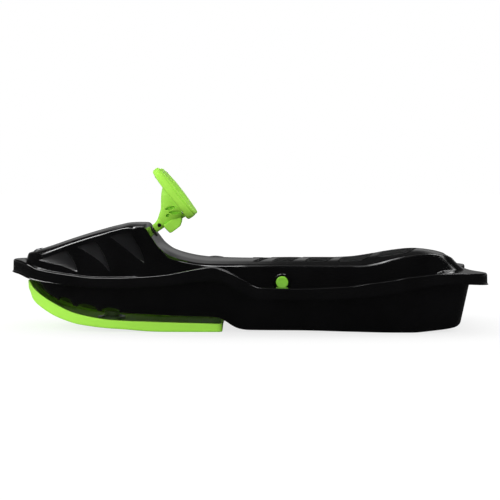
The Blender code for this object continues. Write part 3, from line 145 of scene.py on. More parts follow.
# Width of the rolled band between the seat's edge and the shoulder
SHOULDER_BAND = (
    (-0.48, 0.012), (-0.44, 0.013), (-0.38, 0.015), (-0.32, 0.013), (-0.26, 0.012), (-0.18, 0.012),
    (-0.098, 0.012), (0.034, 0.012),
)
WALL_BASE_WIDTH = (
    (-0.944, 0.06), (-0.873, 0.089), (-0.804, 0.109), (-0.693, 0.133), (-0.621, 0.144),
    (-0.535, 0.157), (-0.43, 0.17), (-0.325, 0.181), (-0.222, 0.189), (-0.168, 0.186), (-0.093, 0.16),
    (-0.037, 0.148), (0.037, 0.144), (0.561, 0.143), (0.71, 0.14), (1.0, 0.14),
)
WELL_DEPTH = (
    (-0.44, 0.0), (-0.37, 0.008), (-0.3, 0.022), (-0.22, 0.034), (-0.14, 0.042), (-0.06, 0.044),
    (0.01, 0.042), (0.045, 0.04), (0.084, 0.034), (0.234, 0.032), (0.383, 0.034), (0.561, 0.044),
    (0.673, 0.037), (0.748, 0.015), (0.819, 0.0),
)
BASE_TO_LEDGE = 0.004
DECK_RAISE = 0.0024
SEAT_CROWN_SHARE = 0.55
SEAT_CROWN_FALL = 0.3
DECK_TIPS = (-0.498, -0.4995, -0.501, -0.5028, -0.507)
DECK_ENDS = (0.46, 0.47, 0.48, 0.489, 0.506)
FLOOR_SHARES = (0.3, 0.8)
# Below 1 the cowl's nose is blunter in plan than the rim's
SHOULDER_BLUNTNESS = 0.72
# Section of the thin lip under the rim: how far out of its line and above its low edge
LIP_SECTION = ((0.0006, 0.0042), (0.0016, 0.0021), (0.0032, 0.0008), (0.0026, 0.0), (-0.003, 0.0))
RIM_INSIDE_OUT = -0.003
RIM_INSIDE_DROP = 0.0045
# Fillets at the deck's inner lines, cuts between its lines, and steps of a fillet
DECK_FILLETS = (0.02, 0.003, 0.0085, 0.003, 0.003, 0.006, 0.0045, 0.0055, 0.0015, 0.0012,
                0.0004, 0.0004, 0.0005)
DECK_CUTS = (4, 4, 2, 36, 2, 3, 4, 4, 5, 1, 1, 1, 1, 3)
DECK_ARC = 6

# Hull, metres, against the share of half length
HULL_EDGE_WIDTH = (
    (-0.9, 0.05), (-0.804, 0.1), (-0.748, 0.118), (-0.673, 0.136), (-0.561, 0.15), (-0.4, 0.155),
    (0.7, 0.155), (0.85, 0.15), (1.0, 0.146),
)
HULL_EDGE_LOW = (
    (-0.935, 0.118), (-0.9, 0.104), (-0.85, 0.088), (-0.804, 0.076), (-0.748, 0.064), (-0.673, 0.053),
    (-0.6, 0.047), (-0.5, 0.043), (-0.383, 0.0395), (-0.25, 0.036), (-0.11, 0.033), (-0.078, 0.026),
    (-0.048, 0.0155), (-0.02, 0.009), (0.02, 0.006), (0.24, 0.005), (0.447, 0.002), (0.63, 0.0),
    (0.684, 0.0), (0.787, 0.0045), (0.865, 0.0098), (0.9, 0.0145),
)
HULL_PAN_RISE = ((-0.08, 0.0), (0.04, 0.01), (0.8, 0.01), (0.9, 0.002))
HULL_INSET = 0.031
RUNNER_WIDTH = 0.022
RUNNER_FLANK = 0.006
HULL_BOTTOM_TIP = -0.482
HULL_BOTTOM_END = 0.4895
HULL_TOP_END = 0.5045
HULL_STEP_X = -0.047
HULL_STEP_FADE = 0.12
HULL_STEP_RADIUS = 0.2949
# How far the inner lines start behind the tip, and the same at the tail as a share of it
HULL_TIP_INSETS = (0.045, 0.02, 0.012, 0.006)
HULL_END_SHARE = 0.8
HULL_HALF_SHARE = 0.55
HULL_FLANK_FORWARD = 0.002
HULL_FLANK_OUT = 0.004
FLANGE_RISE = 0.006
FLANGE_GAP = 0.006
FLANGE_HEIGHT = 0.007
HULL_FILLETS = (0.02, 0.004, 0.003, 0.0035, 0.003, 0.002)
HULL_CUTS = (3, 3, 2, 3, 1, 22, 2)
# Steps of a fillet in the hull and the ski
SHELL_ARC = 4

# Ski: its half plan, metres, and the heights of its lower and upper edge against the share of
# half length
SKI_PLAN = (
    (-0.497, 0.0), (-0.49, 0.032), (-0.472, 0.062), (-0.445, 0.088), (-0.41, 0.112), (-0.36, 0.132),
    (-0.3, 0.1425), (-0.24, 0.145), (-0.18, 0.145), (-0.12, 0.145),
)
SKI_LOW = (
    (-0.929, 0.087), (-0.916, 0.0815), (-0.898, 0.0645), (-0.857, 0.0495), (-0.79, 0.0319),
    (-0.741, 0.0231), (-0.692, 0.0163), (-0.642, 0.0125), (-0.597, 0.0097), (-0.543, 0.0075),
    (-0.494, 0.006), (-0.444, 0.0037), (-0.395, 0.0017), (-0.32, 0.0004), (0.0, 0.0),
)
SKI_TOP = (
    (-0.929, 0.106), (-0.916, 0.103), (-0.898, 0.093), (-0.846, 0.075), (-0.794, 0.061),
    (-0.703, 0.0415), (-0.651, 0.0352), (-0.547, 0.0272), (-0.389, 0.0235), (-0.182, 0.02),
    (0.0, 0.0175),
)
SKI_HALF_WIDTH = 0.145
SKI_BOW_STEPS = 12
SKI_BOW_END = -0.2
SKI_SIDE_START = -0.195
SKI_REAR = -0.047
SKI_CORNER = 0.012
SKI_SPACING = 0.004
SKI_POINTS = (20, 7, 16)
SKI_SPINE = (-0.437, -0.07)
SKI_INSET = 0.03
SKI_WALL = 0.005
SKI_LEAN = 0.001
SKI_FILLETS = (0.02, 0.0045, 0.002, 0.0016, 0.003, 0.02)
SKI_CUTS = (4, 3, 7, 1, 5, 3, 4)

# Most of a span that a fillet takes, and what keeps a span of no length from dividing by zero
FILLET_SHARE = 0.48
TINY = 1e-9
# Distances within which points are welded, and steps of a turned shape
GRID_WELD = 0.00005
FINE_WELD = 0.00002
MIRROR_WELD = 0.0001
TURNED_SIDES = 64
SMOOTH_ANGLE = math.radians(40)
NODE_SMOOTH_ANGLE = math.radians(35)


def curve(points):
    """Function of x: a smooth curve through (x, value) points that never overshoots them."""
    xs, ys = np.array(points, float).T
    gaps = np.diff(xs)
    slopes = np.diff(ys) / gaps
    tangents = np.concatenate((slopes[:1], np.zeros(len(xs) - 2), slopes[-1:]))
    for i in range(1, len(xs) - 1):
        before, after = slopes[i - 1], slopes[i]
        if before * after > 0:
            left = 2 * gaps[i] + gaps[i - 1]
            right = gaps[i] + 2 * gaps[i - 1]
            tangents[i] = (left + right) / (left / before + right / after)

    def value(x):
        x = np.clip(x, xs[0], xs[-1])
        i = np.clip(np.searchsorted(xs, x) - 1, 0, len(gaps) - 1)
        t = (x - xs[i]) / gaps[i]
        return ((1 + 2 * t) * (1 - t) ** 2 * ys[i] + t * (1 - t) ** 2 * gaps[i] * tangents[i]
                + t * t * (3 - 2 * t) * ys[i + 1] + t * t * (t - 1) * gaps[i] * tangents[i + 1])

    return value


def share_curve(points, rise=0.0):
    """Like curve, for x in metres and points given against the share of half length."""
    inner = curve(points)
    return lambda x: inner(x / HALF_LENGTH) + rise


def eased(share):
    """Share that rises from 0 to 1 with soft ends."""
    share = np.clip(share, 0, 1)
    return share * share * (3 - 2 * share)


rim_top, rim_low, spine_top, seat_edge_top, shoulder_top = (
    share_curve(points, DECK_RAISE)
    for points in (RIM_TOP, RIM_LOW, SPINE_TOP, SEAT_EDGE_TOP, SHOULDER_TOP))
shoulder_width = share_curve(SHOULDER_WIDTH)
shoulder_band = share_curve(SHOULDER_BAND)
well_depth = share_curve(WELL_DEPTH)
base_width = share_curve(WALL_BASE_WIDTH)
ledge_width = share_curve(LEDGE_WIDTHS)
# The rim's width leaves out the points at nose and tail, where its plan turns across
rim_width = curve([(a * HALF_LENGTH, b * HALF_WIDTH) for a, b in RIM_PLAN[2:-5]])


def spline(points, steps):
    """Catmull-Rom curve from the second plan point to the last but one, without its end."""
    t = (np.arange(steps) / steps)[:, None]
    return np.vstack([0.5 * (2 * b + (c - a) * t + (2 * a - 5 * b + 4 * c - d) * t ** 2
                             + (3 * b - a - 3 * c + d) * t ** 3)
                      for a, b, c, d in zip(points, points[1:], points[2:], points[3:])])


def smooth_line(points, steps):
    """Smooth curve through plan points whose two ends lie on the symmetry plane."""
    points = np.array(points, float)
    points = np.vstack((points[1] * (1, -1), points, points[-2] * (1, -1)))
    return np.vstack((spline(points, steps), points[-2:-1]))


def smooth_loop(points):
    """Closed smooth loop through plan points."""
    points = np.array(points, float)
    return spline(np.vstack((points[-1:], points, points[:2])), LOOP_STEPS)


def resample(line, spacing):
    """Points along a dense line, at a spacing that may depend on x."""
    steps = np.linalg.norm(np.diff(line, axis=0), axis=1)
    middle = (line[1:, 0] + line[:-1, 0]) / 2
    turns = np.concatenate(([0], np.cumsum(steps / spacing(middle))))
    wanted = np.linspace(0, turns[-1], int(round(turns[-1])) + 1)
    return np.stack([np.interp(wanted, turns, line[:, k]) for k in range(line.shape[1])], 1)


RIM = resample(smooth_line([(a * HALF_LENGTH, b * HALF_WIDTH) for a, b in RIM_PLAN], RIM_STEPS),
               lambda x: np.where(x < FRONT_END, FRONT_STEP, REAR_STEP))
# The flared lip adds to the length, so the rim's line ends a little inside it
RIM[:, 0] += NOSE_TRIM * np.clip((-RIM[:, 0] - TRIM_START) / (HALF_LENGTH - TRIM_START), 0, 1)
RIM[:, 0] -= TAIL_TRIM * np.clip((RIM[:, 0] - TRIM_START) / (HALF_LENGTH - TRIM_START), 0, 1)


def plan_line(tip, end, width, notched=True, bluntness=1.0):
    """Plan of a feature line, one point for each rim point: nested copies round nose and tail."""
    x, y = RIM.T
    if not notched:
        x = np.maximum.accumulate(x)
    nose = NOSE_SHARE * HALF_LENGTH
    tail = TAIL_SHARE * HALF_LENGTH
    front = np.clip((nose - x) / (nose + HALF_LENGTH), 0, None)
    outward = math.sqrt(width(tail) / rim_width(tail))
    back = np.clip((x - tail) / (HALF_LENGTH - tail), 0, None)
    turned = 1 - y / rim_width(tail)
    rear = outward * back + (1 - outward) * np.where(x > tail, turned, 0)
    line_x = np.where(x < nose, nose - front * (nose - tip),
                      np.where(x > tail, tail + rear * (end - tail), x))
    line_y = np.where(x < nose, width(nose) * np.clip(y / rim_width(nose), 0, 1) ** bluntness,
                      np.where(x > tail, width(tail) * y / rim_width(tail), width(x)))
    return line_x, np.clip(line_y, 0, None)


def line(tip, end, width, height, bluntness=1.0):
    x, y = plan_line(tip, end, width, bluntness=bluntness)
    return np.stack((x, y, height(x)), 1)


def rim_offset(out, height):
    """Rim line moved outward in plan."""
    along = np.gradient(RIM, axis=0)
    along /= np.linalg.norm(along, axis=1)[:, None]
    along[0] = (0, 1)
    along[-1] = (0, -1)
    x, y = RIM[:, 0] - along[:, 1] * out, RIM[:, 1] + along[:, 0] * out
    return np.stack((x, np.clip(y, 0, None), height(RIM[:, 0])), 1)


def fillet_share(spans, radius):
    """Share of each span that a fillet at its end takes."""
    lengths = np.linalg.norm(spans, axis=1)[:, None] + TINY
    return np.minimum(radius / lengths, FILLET_SHARE)


def rounded(lines, radii, cuts, arc):
    """Rows across feature lines, with a fillet at each inner line and cuts in each span."""
    lines = np.array(lines)
    rows = [lines[0]]
    start = lines[0]
    for i, count in enumerate(cuts, 1):
        here = stop = lines[i]
        inner = i < len(cuts)
        if inner:
            back, ahead = lines[i - 1] - here, lines[i + 1] - here
            stop = here + back * fillet_share(back, radii[i - 1])
            leave = here + ahead * fillet_share(ahead, radii[i - 1])
        rows += [start + (stop - start) * k / count for k in range(1, count + 1)]
        if inner:
            for t in np.arange(1, arc + 1) / arc:
                rows.append((1 - t) ** 2 * stop + 2 * t * (1 - t) * here + t * t * leave)
            start = leave
    return np.array(rows)


def placed(name, mesh, body):
    """Object of a mesh, riding on a body."""
    item = bpy.data.objects.new(name, mesh)
    bpy.context.scene.collection.objects.link(item)
    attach(item, body)
    return item


def piece(name, vertices, faces, body, slot, finish=None):
    """Object of points and faces, with its slot's material unless another finish is given."""
    mesh = bpy.data.meshes.new(name)
    mesh.from_pydata([tuple(v) for v in vertices], [], [tuple(f) for f in faces])
    mesh.materials.append(MATERIALS[finish or slot])
    mesh.shade_smooth()
    mesh.set_sharp_from_angle(angle=SMOOTH_ANGLE)
    return placed(name, mesh, body)


def grid_faces(rows, closed=False):
    """Quads between neighbouring rows of points; closed joins each row's end to its start."""
    index = np.arange(rows.shape[0] * rows.shape[1]).reshape(rows.shape[:2])
    if closed:
        index = np.hstack((index, index[:, :1]))
    corners = (index[:-1, :-1], index[:-1, 1:], index[1:, 1:], index[1:, :-1])
    return np.stack(corners, -1).reshape(-1, 4)


def grid_piece(name, rows, body, slot, grips=None):
    """Half surface from rows of points, welded and mirrored about the middle plane."""
    item = piece(name, rows.reshape(-1, 3), grid_faces(rows), body, slot)
    if grips is not None:
        item.data.attributes.new(GRIP, "FLOAT", "POINT").data.foreach_set("value", grips.ravel())
    bm = bmesh.new()
    bm.from_mesh(item.data)
    bmesh.ops.remove_doubles(bm, verts=bm.verts, dist=GRID_WELD)
    bmesh.ops.dissolve_degenerate(bm, edges=bm.edges, dist=FINE_WELD)
    bm.to_mesh(item.data)
    bm.free()
    mirror = item.modifiers.new("mirror", "MIRROR")
    mirror.use_axis = (False, True, False)
    mirror.merge_threshold = MIRROR_WELD
    return item


def turned_piece(name, profile, place, body, slot, finish=None, sides=TURNED_SIDES):
    """Turned shape from (radius, height) points that start and end on the axis, or close a loop."""
    turns = 2 * math.pi * np.arange(sides) / sides
    rows = [[(r * math.cos(a), r * math.sin(a), h) for r, h in profile] for a in turns]
    rows = np.array(rows + rows[:1])
    vertices = [place @ Vector(v) for v in rows.reshape(-1, 3)]
    item = piece(name, vertices, grid_faces(rows), body, slot, finish)
    bm = bmesh.new()
    bm.from_mesh(item.data)
    bmesh.ops.remove_doubles(bm, verts=bm.verts, dist=FINE_WELD)
    bmesh.ops.recalc_face_normals(bm, faces=bm.faces)
    bm.to_mesh(item.data)
    bm.free()
    return item


# Points of a mesh that have the rougher finish of a moulded grip
GRIP = "grip"
GRIP_COLOUR = (0.0036, 0.0036, 0.0042, 1)
GRIP_ROUGHNESS = 0.34
# Scale and detail of the noise that shifts the colour and the gloss, and the fine grain's detail
MOTTLE_NOISE = (14.0, 3.0)
MOTTLE_RANGE = (0.3, 0.7)
GLOSS_NOISE = (51.8, 4.0)
GRAIN_DETAIL = 2.0
GRAIN_STRENGTH = 0.6


def srgb(red, green, blue):
    """Linear colour of an 8-bit screen colour."""
    def channel(value):
        value /= 255
        return value / 12.92 if value <= 0.04045 else ((value + 0.055) / 1.055) ** 2.4
    return (channel(red), channel(green), channel(blue), 1)


def feed(tree, node, inputs):
    """Give a node's inputs numbers and colours, or links from other nodes' sockets."""
    for name, value in inputs.items():
        if isinstance(value, bpy.types.NodeSocket):
            tree.links.new(value, node.inputs[name])
        else:
            node.inputs[name].default_value = value


def add_node(tree, kind, inputs):
    node = tree.nodes.new("ShaderNode" + kind)
    feed(tree, node, inputs)
    return node


def add_ramp(tree, source, steps):
    """Colour ramp of (position, grey or colour) steps, read where a socket says."""
    ramp = add_node(tree, "ValToRGB", {"Fac": source})
    while len(ramp.color_ramp.elements) < len(steps):
        ramp.color_ramp.elements.new(0.5)
    for element, (position, value) in zip(ramp.color_ramp.elements, steps):
        element.position = position
        element.color = value if isinstance(value, tuple) else (value, value, value, 1)
    return ramp.outputs["Color"]


def new_material(name, colour, roughness, specular=0.5, metallic=0.0, grain=0.0001,
                 grain_scale=1400.0, mottle=0.06, rough_spread=0.05):
    """Moulded or metal surface: colour and gloss that drift slightly, and a fine grain."""
    material = bpy.data.materials.new(name)
    material.use_nodes = True
    tree = material.node_tree
    place = tree.nodes.new("ShaderNodeTexCoord").outputs["Object"]

    def noise(scale, detail):
        return add_node(tree, "TexNoise", {"Scale": scale, "Detail": detail,
                                           "Vector": place}).outputs["Fac"]

    tones = [tuple(c * (1 + sign * mottle) for c in colour[:3]) + (1,) for sign in (-1, 1)]
    drift = add_ramp(tree, noise(*MOTTLE_NOISE), tuple(zip(MOTTLE_RANGE, tones)))
    gloss = add_node(tree, "MapRange", {"To Min": roughness - rough_spread,
                                        "To Max": roughness + rough_spread,
                                        "Value": noise(*GLOSS_NOISE)}).outputs["Result"]
    grip = tree.nodes.new("ShaderNodeAttribute")
    grip.attribute_name = GRIP

    def gripped(plain, rough):
        return add_node(tree, "MixRGB", {"Fac": grip.outputs["Fac"], "Color1": plain,
                                         "Color2": rough}).outputs["Color"]

    bump = add_node(tree, "Bump", {"Distance": grain, "Strength": GRAIN_STRENGTH,
                                   "Height": noise(grain_scale, GRAIN_DETAIL)})
    feed(tree, tree.nodes["Principled BSDF"], {
        "Base Color": gripped(drift, GRIP_COLOUR), "Metallic": metallic,
        "Roughness": gripped(gloss, (GRIP_ROUGHNESS,) * 3 + (1,)),
        "Specular IOR Level": specular, "Normal": bump.outputs["Normal"]})
    return material


FINISHES = {
    "black_plastic": dict(colour=(0.0026, 0.0026, 0.0028, 1), roughness=0.12, specular=0.3,
                          grain=0.000008, mottle=0.25, rough_spread=0.02),
    "green_plastic": dict(colour=srgb(168, 234, 80), roughness=0.5, specular=0.12,
                          grain=0.000004, mottle=0.03),
    "cap_plastic": dict(colour=srgb(140, 214, 60), roughness=0.36, specular=0.35,
                        grain=0.000004, mottle=0.03),
    "dark_nylon": dict(colour=(0.045, 0.043, 0.03, 1), roughness=0.42, specular=0.4),
    "white_nylon": dict(colour=(0.7, 0.69, 0.64, 1), roughness=0.4),
    "zinc_steel": dict(colour=(0.56, 0.57, 0.58, 1), roughness=0.3, metallic=1.0,
                       grain=0.00003, grain_scale=2600.0),
    "column_steel": dict(colour=(0.1, 0.1, 0.105, 1), roughness=0.35, metallic=1.0, grain=0.00003),
    "tread_plastic": dict(colour=(0.003, 0.0031, 0.0033, 1), roughness=0.5, specular=0.1,
                          grain=0.0004, grain_scale=600.0),
}
MATERIALS = {name: new_material(name, **finish) for name, finish in FINISHES.items()}


def seat_edge_width(x):
    return shoulder_width(x) - shoulder_band(x)


def ledge_inner_width(x):
    return rim_width(x) - ledge_width(x)


def wall_base_width(x):
    return np.minimum(base_width(x), ledge_inner_width(x) - BASE_TO_LEDGE)


def floor_height(x):
    return rim_top(x) - well_depth(x)


def seat_middle_height(x):
    return spine_top(x) + SEAT_CROWN_FALL * (seat_edge_top(x) - spine_top(x))


# Claw-like recesses on the side of the cowl: sharp rear edge, curved lower edge, metres in X and Z
CLAWS = (
    {"rear": ((-0.2532, 0.219), (-0.241, 0.202), (-0.2263, 0.1785), (-0.2159, 0.1511)),
     "front": ((-0.31, 0.212), (-0.2764, 0.191), (-0.2481, 0.172), (-0.2159, 0.1511)),
     "depth": 0.005},
    {"rear": ((-0.334, 0.2), (-0.3195, 0.185), (-0.3039, 0.1607), (-0.2905, 0.13)),
     "front": ((-0.385, 0.189), (-0.3472, 0.1706), (-0.317, 0.153), (-0.2905, 0.13)),
     "depth": 0.0048},
    {"rear": ((-0.4013, 0.1802), (-0.3879, 0.1676), (-0.3741, 0.1487), (-0.3666, 0.131)),
     "front": ((-0.485, 0.158), (-0.4465, 0.1509), (-0.409, 0.1436), (-0.3666, 0.131)),
     "depth": 0.0045},
)
CLAW_STEP = 0.0028
CLAW_NARROWEST = 0.004
CLAW_TOP_GAP = 0.008
CLAW_FADE = 0.004
# How many times faster the grip's finish sets in than the recess deepens
CLAW_GRIP = 6

# Swelling of the deck's wall under each side cap
CAP_FORWARD = 0.0045
CAP_TRIM = 0.0011
CAP_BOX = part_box("side_cap_near")
CAP_X = (CAP_BOX[0].x + CAP_BOX[1].x) / 2 - CAP_FORWARD
CAP_Z = (CAP_BOX[0].z + CAP_BOX[1].z) / 2
CAP_RADIUS = (CAP_BOX[1].x - CAP_BOX[0].x) / 2 - CAP_TRIM
CAP_HEIGHT = 0.0062
CAP_SEAT = -CAP_BOX[0].y - CAP_HEIGHT
CAP_FLAT = 0.021
CAP_FLAT_FADE = 0.003
SWELL_CENTRE = (CAP_X, 0.078)
SWELL_SIZE = (0.056, 0.0305)
SWELL_OUT = 0.0055
SWELL_FADE = 0.16


def claw_depth(x, z):
    """Depth of the claw recesses at points of the wall, and how far each point lies in one."""
    total = np.zeros_like(x)
    grip = np.zeros_like(x)
    top = np.clip((shoulder_top(x) - CLAW_TOP_GAP - z) / CLAW_FADE, 0, 1)
    for claw in CLAWS:
        rear_x, front_x = (curve([(b, a) for a, b in claw[edge][::-1]])(z)
                           for edge in ("rear", "front"))
        share = np.clip((x - front_x) / np.maximum(rear_x - front_x, CLAW_NARROWEST), 0, 1)
        lowest = claw["rear"][-1][1]
        within = (eased((rear_x - x) / CLAW_STEP + 0.5) * top
                  * np.clip((z - lowest) / CLAW_FADE, 0, 1))
        total = np.maximum(total, claw["depth"] * share * within)
        grip = np.maximum(grip, np.clip(share * CLAW_GRIP, 0, 1) * within)
    return total, grip


def deck_lines():
    """Feature lines of the deck, from the middle of the seat out to the inside of the rim."""
    shapes = (
        (lambda x: 0 * x, spine_top),
        (lambda x: seat_edge_width(x) * SEAT_CROWN_SHARE, seat_middle_height, SHOULDER_BLUNTNESS),
        (seat_edge_width, seat_edge_top, SHOULDER_BLUNTNESS),
        (shoulder_width, shoulder_top, SHOULDER_BLUNTNESS),
        (wall_base_width, floor_height),
    )
    lines = [line(tip, end, *shape) for tip, end, shape in zip(DECK_TIPS, DECK_ENDS, shapes)]
    base = lines[-1]
    ledge = line(-HALF_LENGTH + LEDGE_WIDTH, HALF_LENGTH - LEDGE_WIDTH, ledge_inner_width, rim_top)
    for share in FLOOR_SHARES:
        floor = base + share * (ledge - base)
        floor[:, 2] = floor_height(floor[:, 0])
        lines.append(floor)
    lines += [ledge, rim_offset(0, rim_top)]
    lines += [rim_offset(out, lambda x, up=up: rim_low(x) + up) for out, up in LIP_SECTION]
    lines.append(rim_offset(RIM_INSIDE_OUT, lambda x: rim_top(x) - RIM_INSIDE_DROP))
    return lines


def deck_rows():
    """Rows of the deck with the claws and the cap's swelling, and each point's share of grip."""
    rows = rounded(deck_lines(), DECK_FILLETS, DECK_CUTS, DECK_ARC)
    wall_start = sum(DECK_CUTS[:3]) + 2 * DECK_ARC
    wall = rows[wall_start:wall_start + DECK_CUTS[3] + 2 * DECK_ARC]
    x, y, z = wall[..., 0], wall[..., 1], wall[..., 2]
    depth, grip = claw_depth(x, z)
    y -= depth
    grips = np.zeros(rows.shape[:2])
    grips[wall_start:wall_start + len(wall)] = grip
    across = np.hypot((x - SWELL_CENTRE[0]) / SWELL_SIZE[0], (z - SWELL_CENTRE[1]) / SWELL_SIZE[1])
    y += SWELL_OUT * eased((1.0 - across) / SWELL_FADE)
    flat = np.clip((CAP_FLAT - np.hypot(x - CAP_X, z - CAP_Z)) / CAP_FLAT_FADE, 0, 1)
    y += flat * (CAP_SEAT - y)
    return rows, grips


def add_deck():
    rows, grips = deck_rows()
    deck = grid_piece("deck_shell", rows, "hull", "black_plastic", grips)
    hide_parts("upper_deck")


# Arched notches in the lower edge of the hull: middle X, half width, height
HULL_ARCHES = ((-0.3945, 0.016, 0.012), (-0.345, 0.0225, 0.011), (-0.292, 0.0205, 0.01))
hull_edge_width = share_curve(HULL_EDGE_WIDTH)
hull_edge_low = share_curve(HULL_EDGE_LOW)
hull_pan_rise = share_curve(HULL_PAN_RISE)


def hull_edge_height(x):
    z = hull_edge_low(x)
    for middle, half, height in HULL_ARCHES:
        z = z + height * np.sqrt(np.clip(1 - ((x - middle) / half) ** 2, 0, 1))
    return z


def hull_line(tip_inset, inward, height, share=1.0):
    """Line of the hull, set in from its lower edge and bowed at the arched step over the ski."""
    x, y = plan_line(HULL_BOTTOM_TIP + tip_inset, HULL_BOTTOM_END - tip_inset * HULL_END_SHARE,
                     lambda v: hull_edge_width(v) - inward, notched=False)
    edge = hull_edge_width(x)
    near = np.clip(np.abs(x - HULL_STEP_X) / HULL_STEP_FADE, 0, 1)
    square = HULL_STEP_RADIUS ** 2
    bulge = np.sqrt(square - np.minimum(y, edge) ** 2) - np.sqrt(square - edge ** 2)
    return np.stack((x + (1 - near * near) ** 2 * bulge, y * share, height(x)), 1)


def hull_rows():
    def pan(x):
        return hull_edge_low(x) + hull_pan_rise(x)

    runner = RUNNER_WIDTH + RUNNER_FLANK
    x, y = plan_line(-HALF_LENGTH + HULL_INSET, HULL_TOP_END, lambda v: rim_width(v) - HULL_INSET,
                     notched=False)
    middle, half, pan_edge, inner_edge = HULL_TIP_INSETS
    lines = [
        hull_line(middle, 0.0, pan, share=0),
        hull_line(half, runner, pan, share=HULL_HALF_SHARE),
        hull_line(pan_edge, runner, pan),
        hull_line(inner_edge, RUNNER_WIDTH, hull_edge_low),
        hull_line(0.0, 0.0, hull_edge_height),
        hull_line(-HULL_FLANK_FORWARD, -HULL_FLANK_OUT, lambda v: hull_edge_height(v) + FLANGE_RISE),
        np.stack((x, y, rim_low(x) + FLANGE_RISE), 1),
        rim_offset(-FLANGE_GAP, lambda v: rim_low(v) + FLANGE_HEIGHT),
    ]
    return rounded(lines, HULL_FILLETS, HULL_CUTS, SHELL_ARC)


def add_hull():
    hull = grid_piece("hull_shell", hull_rows(), "hull", "black_plastic")
    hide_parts("lower_hull")


def ski_outline():
    """Half plan of the ski with a round bow, a straight side and a straight rear edge."""
    bow = smooth_line(SKI_PLAN, SKI_BOW_STEPS)
    bow = bow[bow[:, 0] < SKI_BOW_END]
    side_points, corner_points, rear_points = SKI_POINTS
    side = np.array([(x, SKI_HALF_WIDTH)
                     for x in np.linspace(SKI_SIDE_START, SKI_REAR - SKI_CORNER, side_points)])
    turn = np.linspace(0, math.pi / 2, corner_points)[1:]
    centre = np.array((SKI_REAR - SKI_CORNER, SKI_HALF_WIDTH - SKI_CORNER))
    corner = centre + SKI_CORNER * np.stack((np.sin(turn), np.cos(turn)), 1)
    rear = np.array([(SKI_REAR, y) for y in np.linspace(centre[1], 0, rear_points)[1:]])
    return resample(np.vstack((bow, side, corner, rear)), lambda x: np.full_like(x, SKI_SPACING))


def ski_rows():
    """Rows of the ski from the middle of its sole over its edge to the middle of its inside."""
    edge = ski_outline()
    inner = np.stack((np.clip(edge[:, 0], *SKI_SPINE), 0 * edge[:, 0]), 1)
    out = edge - inner
    out /= np.linalg.norm(out, axis=1)[:, None]
    low, top = share_curve(SKI_LOW), share_curve(SKI_TOP)
    edge_low, edge_top = low(edge[:, 0]), top(edge[:, 0])
    inset = edge - out * SKI_INSET
    wall = edge - out * SKI_WALL
    lines = [np.column_stack(parts) for parts in (
        (inner, low(inner[:, 0])),
        (inset, low(inset[:, 0])),
        (edge - out * SKI_LEAN, edge_low),
        (edge, edge_top),
        (wall, edge_top),
        (wall - out * SKI_LEAN, edge_low + SKI_WALL),
        (inset, low(inset[:, 0]) + SKI_WALL),
        (inner, low(inner[:, 0]) + SKI_WALL),
    )]
    return rounded(lines, SKI_FILLETS, SKI_CUTS, SHELL_ARC)


def add_ski():
    ski = grid_piece("ski_shell", ski_rows(), "ski", "green_plastic")
    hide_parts("front_ski")


def add_caps():
    """Green caps with a dished dome, each in a black collar ring."""
    r = CAP_RADIUS
    face = CAP_HEIGHT
    dome = ((0, 0.0003), (r * 0.97, 0.0003), (r, 0.001), (r, face - 0.0022),
            (r * 0.965, face - 0.001), (r * 0.88, face - 0.0002), (r * 0.78, face),
            (r * 0.72, face - 0.0003), (r * 0.6, face - 0.0005), (0, face - 0.0004))
    ring = ((r + 0.0009, 0.0), (r + 0.0009, 0.003), (r + 0.0016, 0.0038), (r + 0.0028, 0.004),
            (r + 0.004, 0.0034), (r + 0.0052, 0.0012), (r + 0.006, -0.0008),
            (r + 0.0009, -0.0008), (r + 0.0009, 0.0))
    for side, name in ((-1, "near"), (1, "far")):
        place = (Matrix.Translation((CAP_X, side * CAP_SEAT, CAP_Z))
                 @ Matrix.Rotation(-side * math.pi / 2, 4, "X"))
        cap = turned_piece("cap_" + name, dome, place, "hull", "green_plastic", "cap_plastic")
        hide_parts("side_cap_" + name)
        turned_piece("cap_collar_" + name, ring, place, "hull", "black_plastic")


# Steering: frame of the column, with X across, Y up the wheel and Z along the axis
STEERING = next(joint for joint in frame["joints"] if joint["name"] == "steering_turn")
AXIS = Vector(STEERING["axis"]).normalized()
UP_WHEEL = Vector((-AXIS.z, 0, AXIS.x))
COLUMN = Matrix.Translation(STEERING["pos_m"]) @ Matrix(
    ((0, UP_WHEEL.x, AXIS.x, 0), (1, 0, 0, 0), (0, UP_WHEEL.z, AXIS.z, 0), (0, 0, 0, 1)))

# Wheel, metres, in that frame
WHEEL_HALF_WIDTH = 0.106
WHEEL_TOP = 0.1055
WHEEL_LOW = -0.03
WHEEL_BACK = 0.078
WHEEL_FRONT = 0.0959
WHEEL_ROUND = 0.006
COVER_FRONT = 0.1
COVER_BACK = 0.0935
COVER_ROUND = 0.0031
COVER_TOP_DROP = 0.0085
COVER_INSET = 0.0012
GRIP_WIDTH = 0.024
OPENING_TOP_GAP = 0.002
OPENING_RISE = 0.034
PAD_HALF_WIDTH = 0.046
PAD_FADE = 0.01
# How far the pad bulges, the face leans and the rim's back moves, forward, up the wheel
PAD_BULGE = ((-0.032, 0.0), (-0.02, 0.0015), (0.027, 0.003), (0.056, 0.002), (0.068, 0.0))
FACE_LEAN = ((-0.032, 0.0), (0.05, 0.0), (0.075, -0.0015), (0.1, -0.003))
RIM_BACK = ((-0.032, -0.003), (-0.005, 0.0008), (0.03, 0.0002), (0.06, -0.001), (0.1, 0.0))
# Steps of a loop between two points, of a plate's rounded edge, and of the grid on its flat faces
LOOP_STEPS = 7
PLATE_ARC = 5
PLATE_GRID = 0.006
PLATE_GRID_SHIFT = 0.0003
FLAT = 1e-7
